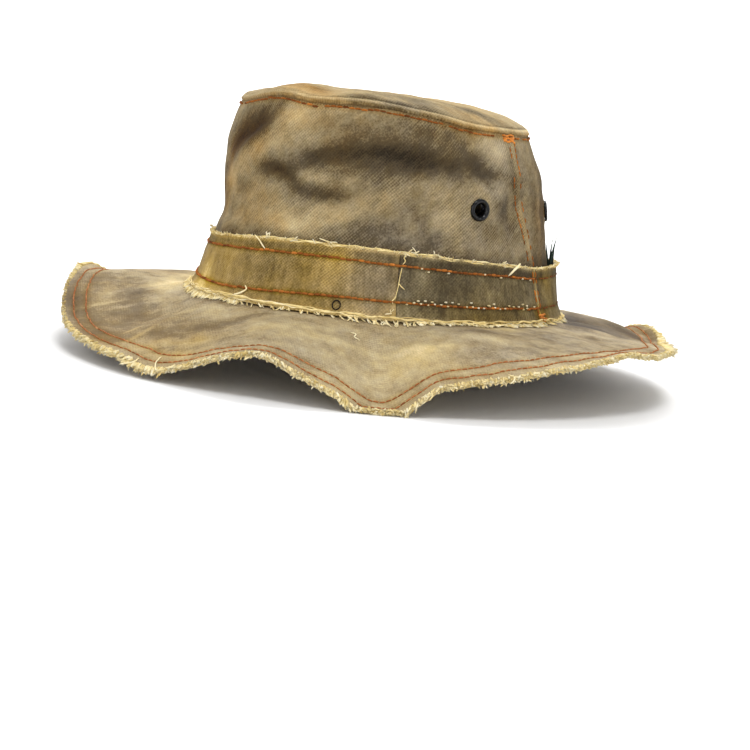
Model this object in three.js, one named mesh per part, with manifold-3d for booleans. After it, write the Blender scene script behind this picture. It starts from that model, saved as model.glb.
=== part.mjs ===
// A worn canvas bush hat that rests on its wavy brim: a crown of three sewn panels, the brim, a band in
// three lengths, four vent eyelets and a tucked feather. Millimetres, +Z up, front along -Y.
// A turn is an angle in degrees round the hat, from the front towards the wearer's left, which is +X.
import * as THREE from "three";
import Module from "manifold-3d";
import { mergeVertices } from "three/addons/utils/BufferGeometryUtils.js";

const wasm = await Module();
wasm.setup();

// Driving sizes
const BASE_HEIGHT = 35.5; // top of the brim at the crown, over the surface that the hat rests on
const SEW_GAP = 0.3; // clearance where two pieces are sewn or lie together
const CROWN_WALL = 1.6;
const BRIM_WALL = 2.2;
const BAND_WALL = 1.8;
const BRIM_HALF_WIDTH = 154;
const BRIM_HALF_LENGTH = 170;
const BRIM_LEDGE = 3.5; // brim cloth that runs in under the crown wall
const BRIM_DROOP_POWER = 1.2; // the brim leaves the crown nearly level and falls faster towards its edge
const DOME_RISE = 8.5; // height of the tip over the tip seam
const DOME_POWER = 4.5; // flat middle with a rounded shoulder
const TIP_OVERHANG = 0.4; // the tip's rim stands proud of the wall as a welt
const TIP_LEVEL = 100; // mean height of the tip seam over the brim
const BAND_JOIN_TURN = 68;
const BAND_SEAM_TURN = 123;
const SEAM_GAP_TURN = 0.1; // half of the gap between two panels, in degrees
const ARC_PER_DEGREE = 1.5; // mean length of wall for each degree of turn

// Sections of the crown wall's outer face, from the brim up to the tip seam
const crownSections = [
  { share: 0, halfWidth: 85, halfLength: 102, forward: 0 },
  { share: 0.15, halfWidth: 81, halfLength: 97.2, forward: 0.5 },
  { share: 0.3, halfWidth: 77.8, halfLength: 93.4, forward: 0.6 },
  { share: 0.45, halfWidth: 75.8, halfLength: 90.9, forward: 0.7 },
  { share: 0.6, halfWidth: 74.9, halfLength: 89.9, forward: 2.4 },
  { share: 0.75, halfWidth: 74.2, halfLength: 89.1, forward: 3.8 },
  { share: 0.88, halfWidth: 70.3, halfLength: 84.4, forward: 6 },
  { share: 1, halfWidth: 66.2, halfLength: 79.4, forward: 7.2 },
];

// Height of the tip seam over the brim, round the crown
const tipSeam = [
  { turn: -45, height: 101 },
  { turn: -14, height: 100 },
  { turn: 20, height: 105.5 },
  { turn: 33, height: 104 },
  { turn: 52, height: 105 },
  { turn: 80, height: 102.2 },
  { turn: 101, height: 98.2 },
  { turn: 130, height: 97.2 },
  { turn: 180, height: 98.5 },
];

// Turn of the left rear seam at shares of the crown's height; the right one is its mirror
const rearSeam = [
  { share: 0, turn: 125 },
  { share: 0.28, turn: 124.5 },
  { share: 0.5, turn: 119.5 },
  { share: 0.72, turn: 116 },
  { share: 1, turn: 119.5 },
];

// Height of the band's upper edge over the brim
const bandTop = [
  { turn: -120, height: 29 },
  { turn: -20, height: 29 },
  { turn: 45, height: 34 },
  { turn: 106, height: 30.5 },
  { turn: 126, height: 28 },
];

// Crests and dips of the brim's edge: height of its underside over the surface, under 0 where it lies flat
const brimFolds = [
  { turn: -54, edge: 25 },
  { turn: -40, edge: 33 },
  { turn: -30, edge: 27 },
  { turn: -20, edge: 18.5 },
  { turn: -10, edge: 12 },
  { turn: 2, edge: 8.5 },
  { turn: 14, edge: 6.5 },
  { turn: 21, edge: 3.5 },
  { turn: 41, edge: 19.5 },
  { turn: 54, edge: 7.5 },
  { turn: 63, edge: -6 },
  { turn: 73, edge: 14.5 },
  { turn: 82, edge: 18.5 },
  { turn: 112, edge: 30 },
  { turn: 149, edge: 24 },
  { turn: 171, edge: 28.5 },
  { turn: 186, edge: 17.5 },
  { turn: 212, edge: -6 },
  { turn: 245, edge: 23 },
  { turn: 277, edge: -6 },
];

// Places where the brim sags between the crown and its edge, or bulges where the sag is under 0;
// deepest is the share of the way out where it is most
const brimSags = [
  { turn: 174, spread: 20, sag: 3.5, deepest: 0.76 },
  { turn: 171, spread: 20, sag: -1.8, deepest: 0.33 },
  { turn: -64, spread: 20, sag: -4, deepest: 0.5 },
  { turn: -46, spread: 9, sag: 3, deepest: 0.88 },
  { turn: -5, spread: 11, sag: 7, deepest: 0.5 },
  { turn: 86, spread: 12, sag: -4, deepest: 0.5 },
];

// Dents and ridges of the crown wall: centre, half length, half width and outward push in mm, tilt in degrees
const crownDents = [
  { turn: 44, share: 0.72, length: 22, width: 6, tilt: 14, push: -3.6 }, // groove under the tip, front end
  { turn: 74, share: 0.768, length: 34, width: 7, tilt: 0, push: -5 }, // its long middle
  { turn: 99, share: 0.776, length: 18, width: 7, tilt: -4, push: -3 }, // its rear end
  { turn: 97, share: 0.87, length: 18, width: 5, tilt: -34, push: -1.8 }, // fold that runs into it from above
  { turn: 68, share: 0.64, length: 44, width: 9, tilt: 4, push: 2.4 }, // bulge below it
  { turn: 14, share: 0.65, length: 14, width: 5, tilt: 6, push: -2 }, // branch of the groove
  { turn: 35, share: 0.568, length: 17, width: 5, tilt: -18, push: -2.8 }, // lower end of the branch
  { turn: 1, share: 0.84, length: 26, width: 8, tilt: 12, push: -4 }, // dent at the front
  { turn: 8, share: 0.745, length: 28, width: 6, tilt: 33, push: 2.4 }, // ridge that crosses the front
  { turn: -28, share: 0.42, length: 36, width: 10, tilt: 0, push: -1.4 }, // hollow over the band at the front
  { turn: 105, share: 0.67, length: 16, width: 5, tilt: 54, push: 2.2 }, // ridge behind the side eyelet
  { turn: 112, share: 0.56, length: 13, width: 7, tilt: 70, push: -2 }, // hollow beside the rear seam
  { turn: -72, share: 0.72, length: 40, width: 9, tilt: -5, push: -4.2 }, // groove of the right side
  { turn: -66, share: 0.56, length: 34, width: 8, tilt: -5, push: 2.4 },
  { turn: 178, share: 0.74, length: 30, width: 10, tilt: 3, push: -3 }, // hollow at the back
  { turn: -140, share: 0.55, length: 18, width: 8, tilt: 40, push: -2 },
];
const DENT_FADE = { from: 0.3, full: 0.4, hold: 0.92, end: 0.99 }; // shares between which dents show

// Loose places of the band, where it stands off the crown at its upper edge
const bandLoose = [
  { turn: 150, spread: 17, stand: 3.8 }, // pocket that holds the feather
  { turn: 40, spread: 26, stand: 0.6 },
];

const eyelets = [
  { name: "eyelet_left_side", turn: 96, share: 0.585, panel: "crown_side" },
  { name: "eyelet_left_back", turn: 150, share: 0.585, panel: "crown_back" },
  { name: "eyelet_right_side", turn: -96, share: 0.585, panel: "crown_side" },
  { name: "eyelet_right_back", turn: -150, share: 0.585, panel: "crown_back" },
];
const EYELET = { hole: 3, barrel: 3.9, flange: 5.8, washer: 5.4, thick: 0.9, gap: 0.6, sides: 12 };
const EYELET_CUT_GAP = 0.3;
const DRILL_LENGTH = 10; // passes right through the crown wall

const FEATHER = { turn: 150, foot: 14, length: 30, halfWidth: 4.2, thick: 0.6, lean: -8 };
const FEATHER_STAND = { foot: 0.7, tip: 4 }; // distance off the crown at its two ends
// Outline of the feather's blade with its split tip, in shares of its half width and of its length
const featherOutline = [
  { across: -0.2, up: 0 },
  { across: 0.2, up: 0 },
  { across: 0.75, up: 0.25 },
  { across: 0.95, up: 0.55 },
  { across: 0.9, up: 0.82 },
  { across: 0.45, up: 0.72 },
  { across: 0.1, up: 1 },
  { across: -0.25, up: 0.74 },
  { across: -0.8, up: 0.9 },
  { across: -0.9, up: 0.5 },
  { across: -0.7, up: 0.22 },
];

// Mesh steps
const CROWN_ROWS = 11;
const CROWN_STEP_TURN = 4.2;
const BRIM_COLUMNS = 90;
const TIP_COLUMNS = 60;
const BAND_ROWS = 2;

const { clamp, degToRad, euclideanModulo, lerp, radToDeg, smoothstep } = THREE.MathUtils;
const ROUND = 360;
const NEAR_TURN = 0.5; // small steps that give a surface's direction at a point
const NEAR_SHARE = 0.01;

// Slope of a table's curve at one row: level at crests and dips, so that the curve never overshoots
function slopeAt(rows, key, value, i, closed) {
  const rise = (a, b) => (rows[b][value] - rows[a][value]) / (rows[b][key] - rows[a][key]);
  const last = rows.length - 1;
  const ends = closed ? [rise(last - 1, last), rise(0, 1)] : [rise(0, 1), rise(last - 1, last)];
  const before = i > 0 ? rise(i - 1, i) : ends[0];
  const after = i < last ? rise(i, i + 1) : ends[1];
  return before * after <= 0 ? 0 : (2 * before * after) / (before + after);
}

// Smooth curve through the rows of a table, along the column key
function along(table, key, value, at, closed = false) {
  const rows = closed ? [...table, { ...table[0], [key]: table[0][key] + ROUND }] : table;
  const first = rows[0][key];
  const last = rows.length - 1;
  const x = closed ? first + euclideanModulo(at - first, ROUND) : clamp(at, first, rows[last][key]);
  const next = Math.max(1, rows.findIndex((row) => row[key] >= x));
  const width = rows[next][key] - rows[next - 1][key];
  const s = (x - rows[next - 1][key]) / width;
  const leave = slopeAt(rows, key, value, next - 1, closed) * width;
  const arrive = slopeAt(rows, key, value, next, closed) * width;
  const from = rows[next - 1][value] * (1 + 2 * s) * (1 - s) ** 2 + leave * s * (1 - s) ** 2;
  const to = rows[next][value] * s * s * (3 - 2 * s) + arrive * s * s * (s - 1);
  return from + to;
}

// Signed degrees from one turn to another, the short way round
function turnBetween(from, to) {
  return euclideanModulo(to - from + ROUND / 2, ROUND) - ROUND / 2;
}

// Point of an oval in plan
function ovalPoint(turn, halfWidth, halfLength, forward, height) {
  const angle = degToRad(turn);
  return new THREE.Vector3(halfWidth * Math.sin(angle), -halfLength * Math.cos(angle) - forward, height);
}

// Crown wall before its dents
function crownSmooth(turn, share) {
  const size = (column) => along(crownSections, "share", column, share);
  const height = BASE_HEIGHT + SEW_GAP + share * along(tipSeam, "turn", "height", turn, true);
  return ovalPoint(turn, size("halfWidth"), size("halfLength"), size("forward"), height);
}

// Outward direction of a surface given as a function of turn and share
function outward(surface, turn, share) {
  const sideways = surface(turn + NEAR_TURN, share).sub(surface(turn - NEAR_TURN, share));
  const upwards = surface(turn, share + NEAR_SHARE).sub(surface(turn, share - NEAR_SHARE));
  return sideways.cross(upwards).normalize();
}

// How far the dents push the wall out at a point
function dentPush(turn, share) {
  const { from, full, hold, end } = DENT_FADE;
  const shown = smoothstep(share, from, full) * (1 - smoothstep(share, hold, end));
  let push = 0;
  for (const dent of crownDents) {
    const tilt = degToRad(dent.tilt);
    const sideways = turnBetween(dent.turn, turn) * ARC_PER_DEGREE;
    const upwards = (share - dent.share) * TIP_LEVEL;
    const lengthwise = (sideways * Math.cos(tilt) + upwards * Math.sin(tilt)) / dent.length;
    const across = (upwards * Math.cos(tilt) - sideways * Math.sin(tilt)) / dent.width;
    push += dent.push * Math.exp(-(lengthwise ** 2) - across ** 2);
  }
  return push * shown;
}

// Point at a distance out from the dented crown wall
function crownPoint(turn, share, out) {
  const normal = outward(crownSmooth, turn, share);
  return crownSmooth(turn, share).addScaledVector(normal, out + dentPush(turn, share));
}

// Underside of the brim: share 0 is the crown's foot, 1 is the edge, and below 0 is the ledge inside
function brimPoint(turn, share, lift) {
  const { halfWidth, halfLength } = crownSections[0];
  const out = Math.max(0, share);
  const ledge = Math.min(0, share) * BRIM_LEDGE;
  const start = BASE_HEIGHT - BRIM_WALL;
  let fall = (along(brimFolds, "turn", "edge", turn, true) - start) * out ** BRIM_DROOP_POWER;
  for (const { turn: middle, spread, sag, deepest } of brimSags) {
    const hollow = Math.sin(Math.PI * out ** (Math.log(0.5) / Math.log(deepest)));
    fall -= sag * hollow * Math.exp(-((turnBetween(middle, turn) / spread) ** 2));
  }
  const wide = lerp(halfWidth, BRIM_HALF_WIDTH, out) + ledge;
  const long = lerp(halfLength, BRIM_HALF_LENGTH, out) + ledge;
  return ovalPoint(turn, wide, long, 0, Math.max(0, start + fall) + lift);
}

// Domed tip: reach 0 is its middle, 1 is the tip seam
function tipPoint(turn, reach, lift) {
  const { halfWidth, halfLength, forward } = crownSections.at(-1);
  const seam = along(tipSeam, "turn", "height", turn, true);
  const rise = DOME_RISE * (1 - reach ** DOME_POWER);
  const height = BASE_HEIGHT + 2 * SEW_GAP + lerp(TIP_LEVEL, seam, reach ** 2) + rise + lift;
  const wide = (halfWidth + TIP_OVERHANG) * reach;
  const long = (halfLength + TIP_OVERHANG) * reach;
  return ovalPoint(turn, wide, long, forward, height);
}

// Band over the crown wall, climb 0 at its foot and 1 at its upper edge
function bandPoint(turn, climb, out) {
  const height = climb * along(bandTop, "turn", "height", turn, true);
  const share = height / along(tipSeam, "turn", "height", turn, true);
  let stand = SEW_GAP;
  for (const loose of bandLoose) {
    stand += loose.stand * climb * Math.exp(-((turnBetween(loose.turn, turn) / loose.spread) ** 2));
  }
  const normal = outward(crownSmooth, turn, share);
  return crownSmooth(turn, share).addScaledVector(normal, stand + out);
}

// Moves every vertex of a geometry to the place that a function gives for it
function reshape(geometry, place) {
  const position = geometry.getAttribute("position");
  const vertex = new THREE.Vector3();
  for (let i = 0; i < position.count; i++) {
    vertex.fromBufferAttribute(position, i);
    position.setXYZ(i, ...place(vertex));
  }
  geometry.deleteAttribute("normal");
  geometry.deleteAttribute("uv");
  return mergeVertices(geometry);
}

// Cloth wall from a box of unit size: x runs round the hat, y up it and z through the cloth
function clothWall(columns, rows, place) {
  const box = new THREE.BoxGeometry(1, 1, 1, columns, rows, 1);
  return reshape(box.translate(0.5, 0.5, 0.5), ({ x, y, z }) => place(x, y, z));
}

// Cloth ring or cap from a lathe whose profile holds (share, face) pairs, face 0 below and 1 above
function clothRound(profile, columns, place) {
  const points = profile.map(({ share, face }) => new THREE.Vector2(share, face));
  const lathe = new THREE.LatheGeometry(points, columns);
  return reshape(lathe, ({ x, y, z }) => {
    const turn = radToDeg(Math.atan2(x, z));
    return place(turn, Math.hypot(x, z), y);
  });
}

function crownPanel(startTurn, endTurn) {
  const columns = Math.round((endTurn(0) - startTurn(0)) / CROWN_STEP_TURN);
  return clothWall(columns, CROWN_ROWS, (across, share, face) => {
    const turn = lerp(startTurn(share) + SEAM_GAP_TURN, endTurn(share) - SEAM_GAP_TURN, across);
    return crownPoint(turn, share, (face - 1) * CROWN_WALL);
  });
}

function bandLength(startTurn, endTurn) {
  const columns = Math.round((endTurn - startTurn) / CROWN_STEP_TURN);
  return clothWall(columns, BAND_ROWS, (across, climb, face) => {
    const turn = lerp(startTurn + SEAM_GAP_TURN, endTurn - SEAM_GAP_TURN, across);
    return bandPoint(turn, climb, face * BAND_WALL);
  });
}

function brimRing() {
  const shares = [-1, 0, 0.12, 0.26, 0.42, 0.58, 0.74, 0.87, 0.95, 1];
  const below = shares.map((share) => ({ share, face: 0 }));
  const above = shares.map((share) => ({ share, face: 1 })).reverse();
  const inset = 2; // keeps the lathe's radius over zero, and is taken off again below
  const profile = [...below, ...above, below[0]].map(({ share, face }) => ({ share: share + inset, face }));
  return clothRound(profile, BRIM_COLUMNS, (turn, radius, face) =>
    brimPoint(turn, radius - inset, face * BRIM_WALL),
  );
}

function tipCap() {
  const reaches = [0, 0.35, 0.6, 0.78, 0.9, 1];
  const below = reaches.map((share) => ({ share, face: 0 }));
  const above = reaches.map((share) => ({ share, face: 1 })).reverse();
  return clothRound([...below, ...above], TIP_COLUMNS, (turn, reach, face) =>
    tipPoint(turn, reach, face * CROWN_WALL),
  );
}

// Placement of a small piece on the crown: its own Y axis points out of the wall
function onCrown({ turn, share }) {
  const dented = (t, s) => crownPoint(t, s, 0);
  const facing = new THREE.Quaternion().setFromUnitVectors(
    new THREE.Vector3(0, 1, 0),
    outward(dented, turn, share),
  );
  return new THREE.Matrix4().compose(crownPoint(turn, share, 0), facing, new THREE.Vector3(1, 1, 1));
}

// Eyelet rolled over both faces of the wall, its outer face of the cloth at y = 0
function eyeletRing() {
  const { hole, barrel, flange, washer, thick, gap, sides } = EYELET;
  const inside = -CROWN_WALL - gap;
  const profile = [
    [hole, inside - thick],
    [washer, inside - thick],
    [washer, inside],
    [barrel, inside],
    [barrel, gap],
    [flange, gap],
    [flange - thick / 2, gap + thick],
    [hole + thick / 2, gap + thick],
    [hole, gap + thick / 2],
    [hole, inside - thick],
  ];
  return new THREE.LatheGeometry(profile.map(([x, y]) => new THREE.Vector2(x, y)), sides);
}

function toSolid(geometry) {
  const bare = geometry.clone();
  bare.deleteAttribute("normal");
  bare.deleteAttribute("uv");
  const merged = mergeVertices(bare);
  return new wasm.Manifold(
    new wasm.Mesh({
      numProp: 3,
      vertProperties: merged.getAttribute("position").array,
      triVerts: new Uint32Array(merged.index.array),
    }),
  );
}

function toGeometry(solid) {
  const { vertProperties, triVerts } = solid.getMesh();
  const geometry = new THREE.BufferGeometry();
  geometry.setAttribute("position", new THREE.BufferAttribute(vertProperties, 3));
  return geometry.setIndex(new THREE.BufferAttribute(triVerts, 1));
}

// Cuts the round holes that the eyelets sit in
function withEyeletHoles(geometry, panel) {
  const radius = EYELET.barrel + EYELET_CUT_GAP;
  let solid = toSolid(geometry);
  for (const eyelet of eyelets.filter((one) => one.panel === panel)) {
    const drill = new THREE.CylinderGeometry(radius, radius, DRILL_LENGTH, EYELET.sides);
    solid = solid.subtract(toSolid(drill.applyMatrix4(onCrown(eyelet))));
  }
  return toGeometry(solid);
}

// Flat feather with a split tip, standing in the band's pocket
function featherBlade() {
  const { length, halfWidth, thick } = FEATHER;
  const outline = featherOutline.map(({ across, up }) => new THREE.Vector2(across * halfWidth, up * length));
  const flat = new THREE.ExtrudeGeometry(new THREE.Shape(outline), { depth: thick, bevelEnabled: false });
  flat.rotateZ(degToRad(FEATHER.lean));
  const offCrown = (height, stand) => {
    const share = height / TIP_LEVEL;
    const normal = outward(crownSmooth, FEATHER.turn, share);
    return crownSmooth(FEATHER.turn, share).addScaledVector(normal, stand);
  };
  const foot = offCrown(FEATHER.foot, FEATHER_STAND.foot);
  const upwards = offCrown(FEATHER.foot + length, FEATHER_STAND.tip).sub(foot).normalize();
  const round = crownSmooth(FEATHER.turn + NEAR_TURN, 0).sub(crownSmooth(FEATHER.turn - NEAR_TURN, 0));
  const facing = round.cross(upwards).normalize();
  const sideways = upwards.clone().cross(facing);
  const place = new THREE.Matrix4().makeBasis(sideways, upwards, facing).setPosition(foot);
  return flat.applyMatrix4(place);
}

const cloth = (color) => new THREE.MeshStandardMaterial({ color, roughness: 0.95, metalness: 0 });
const finishes = {
  crown: cloth(0x8c7855),
  brim: cloth(0xa5916e),
  band: cloth(0x967d41),
  patch: cloth(0x6e5f46),
  metal: new THREE.MeshStandardMaterial({ color: 0x141414, roughness: 0.35, metalness: 0.8 }),
  feather: new THREE.MeshStandardMaterial({ color: 0x1c221a, roughness: 0.6, metalness: 0 }),
};

const hat = new THREE.Group();
function addPiece(name, geometry, material) {
  const mesh = new THREE.Mesh(geometry, material);
  mesh.name = name;
  hat.add(mesh);
  return mesh;
}

const leftSeam = (share) => along(rearSeam, "share", "turn", share);
const rightSeam = (share) => -leftSeam(share);
const rightSeamBehind = (share) => ROUND - leftSeam(share);

addPiece("crown_tip", tipCap(), finishes.crown);
addPiece("crown_side", withEyeletHoles(crownPanel(rightSeam, leftSeam), "crown_side"), finishes.crown);
addPiece("crown_back", withEyeletHoles(crownPanel(leftSeam, rightSeamBehind), "crown_back"), finishes.crown);
addPiece("brim", brimRing(), finishes.brim);
addPiece("band_front", bandLength(-BAND_SEAM_TURN, BAND_JOIN_TURN), finishes.band);
addPiece("band_side", bandLength(BAND_JOIN_TURN, BAND_SEAM_TURN), finishes.patch);
addPiece("band_back", bandLength(BAND_SEAM_TURN, ROUND - BAND_SEAM_TURN), finishes.patch);
for (const eyelet of eyelets) {
  addPiece(eyelet.name, eyeletRing(), finishes.metal).applyMatrix4(onCrown(eyelet));
}
addPiece("feather", featherBlade(), finishes.feather);

export default hat;
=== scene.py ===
import math

import bmesh
import bpy
import numpy as np
from mathutils import Matrix, Vector


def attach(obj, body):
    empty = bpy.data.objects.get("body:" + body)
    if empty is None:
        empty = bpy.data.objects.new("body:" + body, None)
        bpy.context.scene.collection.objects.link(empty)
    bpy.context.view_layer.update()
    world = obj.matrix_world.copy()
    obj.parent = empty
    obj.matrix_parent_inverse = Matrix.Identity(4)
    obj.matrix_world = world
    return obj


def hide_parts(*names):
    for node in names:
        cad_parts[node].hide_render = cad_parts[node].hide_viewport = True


# Worn canvas bush hat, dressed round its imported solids. Tables are in millimetres and degrees.
# A turn runs from the front (-Y) towards the wearer's left (+X).
# A share runs up a panel or out along the brim, a climb up the band.
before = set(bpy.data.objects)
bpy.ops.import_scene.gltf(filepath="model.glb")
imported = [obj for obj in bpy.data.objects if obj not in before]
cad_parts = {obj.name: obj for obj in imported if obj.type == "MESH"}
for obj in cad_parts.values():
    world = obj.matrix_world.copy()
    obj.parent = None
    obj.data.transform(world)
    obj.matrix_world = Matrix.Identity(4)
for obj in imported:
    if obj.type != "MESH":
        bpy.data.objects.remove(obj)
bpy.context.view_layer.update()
mm = 0.001
fullTurn = 360
print("frame loaded with", len(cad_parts), "nodes")


# Tables and curves

def rowsOf(columns, *rows):
    names = columns.split()
    return [dict(zip(names, row)) for row in rows]


def curve(rows, key, value, at, closed=False):
    # smooth line through a table's rows, level at crests and dips
    x = np.array([row[key] for row in rows], float)
    y = np.array([row[value] for row in rows], float)
    at = np.asarray(at, float)
    if closed:
        x = np.append(x, x[0] + fullTurn)
        y = np.append(y, y[0])
        at = x[0] + (at - x[0]) % fullTurn
    at = np.clip(at, x[0], x[-1])
    rise = np.diff(y) / np.diff(x)
    before = np.append(rise[-1] if closed else rise[0], rise)
    after = np.append(rise, rise[0] if closed else rise[-1])
    both = before * after
    slope = np.where(both > 0, 2 * both / np.where(both > 0, before + after, 1), 0)
    i = np.clip(np.searchsorted(x, at, side="right") - 1, 0, len(x) - 2)
    width = x[i + 1] - x[i]
    s = (at - x[i]) / width
    leave = y[i] * (1 + 2 * s) * (1 - s) ** 2 + slope[i] * width * s * (1 - s) ** 2
    arrive = y[i + 1] * s * s * (3 - 2 * s) + slope[i + 1] * width * s * s * (s - 1)
    return leave + arrive


def smooth(value, low, high):
    s = np.clip((value - low) / (high - low), 0, 1)
    return s * s * (3 - 2 * s)


def bell(distance, width):
    return np.exp(-(distance / width) ** 2)


def unit(vectors):
    return vectors / np.linalg.norm(vectors, axis=-1, keepdims=True)


def turnBetween(start, end):
    return (end - start + fullTurn / 2) % fullTurn - fullTurn / 2


def turnBell(row, turn):
    return bell(turnBetween(row["turn"], turn), row["spread"])


def ripple(points, size, seed, waves=24):
    # soft seeded unevenness of about unit height, its humps about one size apart
    rng = np.random.default_rng(seed)
    heading = unit(rng.normal(size=(waves, 3)))
    pace = 2 * np.pi / (size * rng.uniform(0.7, 1.6, waves))
    phase = rng.uniform(0, 2 * np.pi, waves)
    total = np.sin(points.reshape(-1, 3) @ (heading * pace[:, None]).T + phase).sum(1)
    return (total * math.sqrt(2 / waves) / 1.5).reshape(points.shape[:-1])


def unevenness(piece, points):
    return sum(row["height"] * ripple(points, row["size"], row["seed"]) for row in piece["unevenness"])


def spots(piece, table, value, turn, share):
    # soft oval patches with half length and half width in mm
    # the piece's cloth gives the mm for each degree and each share
    total = np.zeros(np.broadcast(turn, share).shape)
    perTurn, perShare = piece["cloth"]
    for row in piece[table]:
        tilt = math.radians(row["tilt"])
        sideways = turnBetween(row["turn"], turn) * perTurn
        upwards = (share - row["share"]) * perShare
        lengthwise = (sideways * math.cos(tilt) + upwards * math.sin(tilt)) / row["length"]
        across = (upwards * math.cos(tilt) - sideways * math.sin(tilt)) / row["width"]
        total += row[value] * np.exp(-lengthwise ** 2 - across ** 2)
    return total


def stainsAndShadeOf(piece, turn, share):
    # tone and warmth from a piece's stains and painted shade
    return [spots(piece, "stainsAndShade", value, turn, share) for value in ("tone", "warm")]


def strayStains(count, turns, shares, seed):
    # seeded stains for the sides that the main view doesn't reach
    rng = np.random.default_rng(seed)
    rows = []
    for _ in range(count):
        rows.append({
            "turn": rng.uniform(*turns), "share": rng.uniform(*shares),
            "length": rng.uniform(10, 36), "width": rng.uniform(5, 14), "tilt": rng.uniform(-50, 50),
            "tone": rng.uniform(-0.5, 0.25), "warm": rng.uniform(-0.4, 0.4),
        })
    return rows


# Shapes of the cloth, the same as the solids have, with the finer creases added

baseHeight = 35.5  # top of the brim at the crown, over the floor
sewGap = 0.3
pushColumns = "turn share length width tilt push"
stainAndShadeColumns = "turn share length width tilt tone warm"
unevenColumns = "height size seed"

crown = {
    "wall": 1.6, "cloth": (1.5, 100), "sideGrid": (290, 78), "backGrid": (130, 78),
    "sections": rowsOf(
        "share halfWidth halfLength forward",
        (0, 85, 102, 0), (0.15, 81, 97.2, 0.5), (0.3, 77.8, 93.4, 0.6), (0.45, 75.8, 90.9, 0.7),
        (0.6, 74.9, 89.9, 2.4), (0.75, 74.2, 89.1, 3.8), (0.88, 70.3, 84.4, 6), (1, 66.2, 79.4, 7.2)),
    "tipSeam": rowsOf(
        "turn height",
        (-45, 101), (-14, 100), (20, 105.5), (33, 104), (52, 105), (80, 102.2), (101, 98.2), (130, 97.2),
        (180, 98.5)),
    "rearSeam": rowsOf("share turn", (0, 125), (0.28, 124.5), (0.5, 119.5), (0.72, 116), (1, 119.5)),
    "dents": rowsOf(
        pushColumns,
        (44, 0.72, 22, 6, 14, -3.6), (74, 0.768, 34, 7, 0, -5), (99, 0.776, 18, 7, -4, -3),
        (97, 0.87, 18, 5, -34, -1.8), (68, 0.64, 44, 9, 4, 2.4), (14, 0.65, 14, 5, 6, -2),
        (35, 0.568, 17, 5, -18, -2.8), (1, 0.84, 26, 8, 12, -4), (8, 0.745, 28, 6, 33, 2.4),
        (-28, 0.42, 36, 10, 0, -1.4), (105, 0.67, 16, 5, 54, 2.2), (112, 0.56, 13, 7, 70, -2),
        (-72, 0.72, 40, 9, -5, -4.2), (-66, 0.56, 34, 8, -5, 2.4), (178, 0.74, 30, 10, 3, -3),
        (-140, 0.55, 18, 8, 40, -2)),
    "dentFade": (0.3, 0.4, 0.92, 0.99),
    "creases": rowsOf(
        pushColumns,
        (62, 0.84, 40, 4, 3, 0.7), (90, 0.9, 20, 4, -12, 0.5), (26, 0.68, 9, 4, -35, -0.8),
        (2, 0.62, 20, 3, 62, 0.5), (-14, 0.7, 24, 3, 75, -0.5), (112, 0.87, 10, 5, 60, 0.6)),
    "unevenness": rowsOf(unevenColumns, (0.35, 36, 3), (0.1, 12, 4)),
    "eyeletPad": {"calm": 10, "reach": 6.8, "lift": 0.45},
    "seamRidge": {
        "lift": 0.9, "halfWidth": 2.1, "start": 0.2, "full": 0.3, "tone": 0.3, "warm": 0.4, "toneWidth": 1.8},
    # painted shade on the strip under the tip's lip, with a rust tint by the tip's row; painted shade by the
    # band's upper edge
    "shadeAndRustUnderTip": {"start": 0.975, "tone": -0.3, "rust": (0.95, 0.97), "warm": 0.6},
    "shadeNearBand": {"shares": (0.3, 0.4), "tone": -0.3},
    # stains and painted shade: the dark rows in the dents' grooves, in the front dent and right of the rear
    # ridge stand in for the shade there
    "stainsAndShade": rowsOf(
        stainAndShadeColumns,
        (35, 0.72, 14, 5, 22, -0.55, 0), (48, 0.745, 15, 4, 12, -0.45, -0.1),
        (64, 0.778, 22, 6, 3, -0.7, -0.1), (83, 0.778, 20, 7, -2, -0.5, -0.1),
        (102, 0.79, 14, 6, -10, -0.5, -0.1), (94, 0.87, 14, 5, -30, -0.25, -0.1),
        (17, 0.64, 11, 4, 0, -0.55, 0.2), (24, 0.635, 8, 4, -15, -0.4, 0.2),
        (29, 0.6, 9, 4, -45, -0.4, 0.2), (43, 0.56, 14, 4, 2, -0.55, 0.2),
        (4, 0.825, 21, 10, 8, -0.95, 1.0), (-8, 0.76, 9, 8, 30, -0.4, 0.9), (11, 0.715, 27, 5, 26, 0.55, 0.3),
        (27, 0.91, 12, 6, 15, 0.55, 0.4), (37, 0.625, 12, 4, 0, 0.2, 0), (64, 0.7, 36, 5, 8, -0.33, 0),
        (107, 0.9, 9, 9, 50, 0.5, -0.4), (29, 0.4, 13, 6, 0, 0.6, 0.3), (13, 0.45, 16, 8, 0, 0.1, 0.1),
        (-4, 0.58, 6, 9, 20, 0.35, 0.2), (106, 0.71, 5, 6, 0, 0.4, 0), (115.4, 0.72, 4, 13, 0, -0.4, 0),
        (102, 0.48, 9, 5, 0, -0.3, 0), (74, 0.925, 12, 4, 0, -0.25, 0), (42, 0.46, 10, 5, 0, 0.25, 0.2),
        (55, 0.52, 15, 5, 30, 0.3, 0.3), (62, 0.43, 20, 7, 5, -0.2, -0.2),
        (73, 0.38, 22, 7, 0, -0.35, -0.3), (74, 0.5, 9, 4, -50, -0.25, -0.2),
        (103, 0.64, 4, 12, 20, -0.25, -0.2), (109, 0.6, 5, 15, 24, -0.5, -0.2), (86, 0.5, 14, 7, 10, 0.2, 0),
        (60, 0.89, 44, 6, 0, -0.15, 0.1), (70, 0.83, 36, 6, 0, -0.12, 0), (-12, 0.56, 10, 20, 0, 0.1, 0.5),
        (-17, 0.5, 8, 12, 0, -0.2, 0.3), (140, 0.62, 18, 30, 0, -0.5, 0.2), (133, 0.6, 4, 34, 0, 0.3, 0.2))
    + strayStains(16, (-172, -34), (0.4, 0.96), 41),
}

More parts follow.
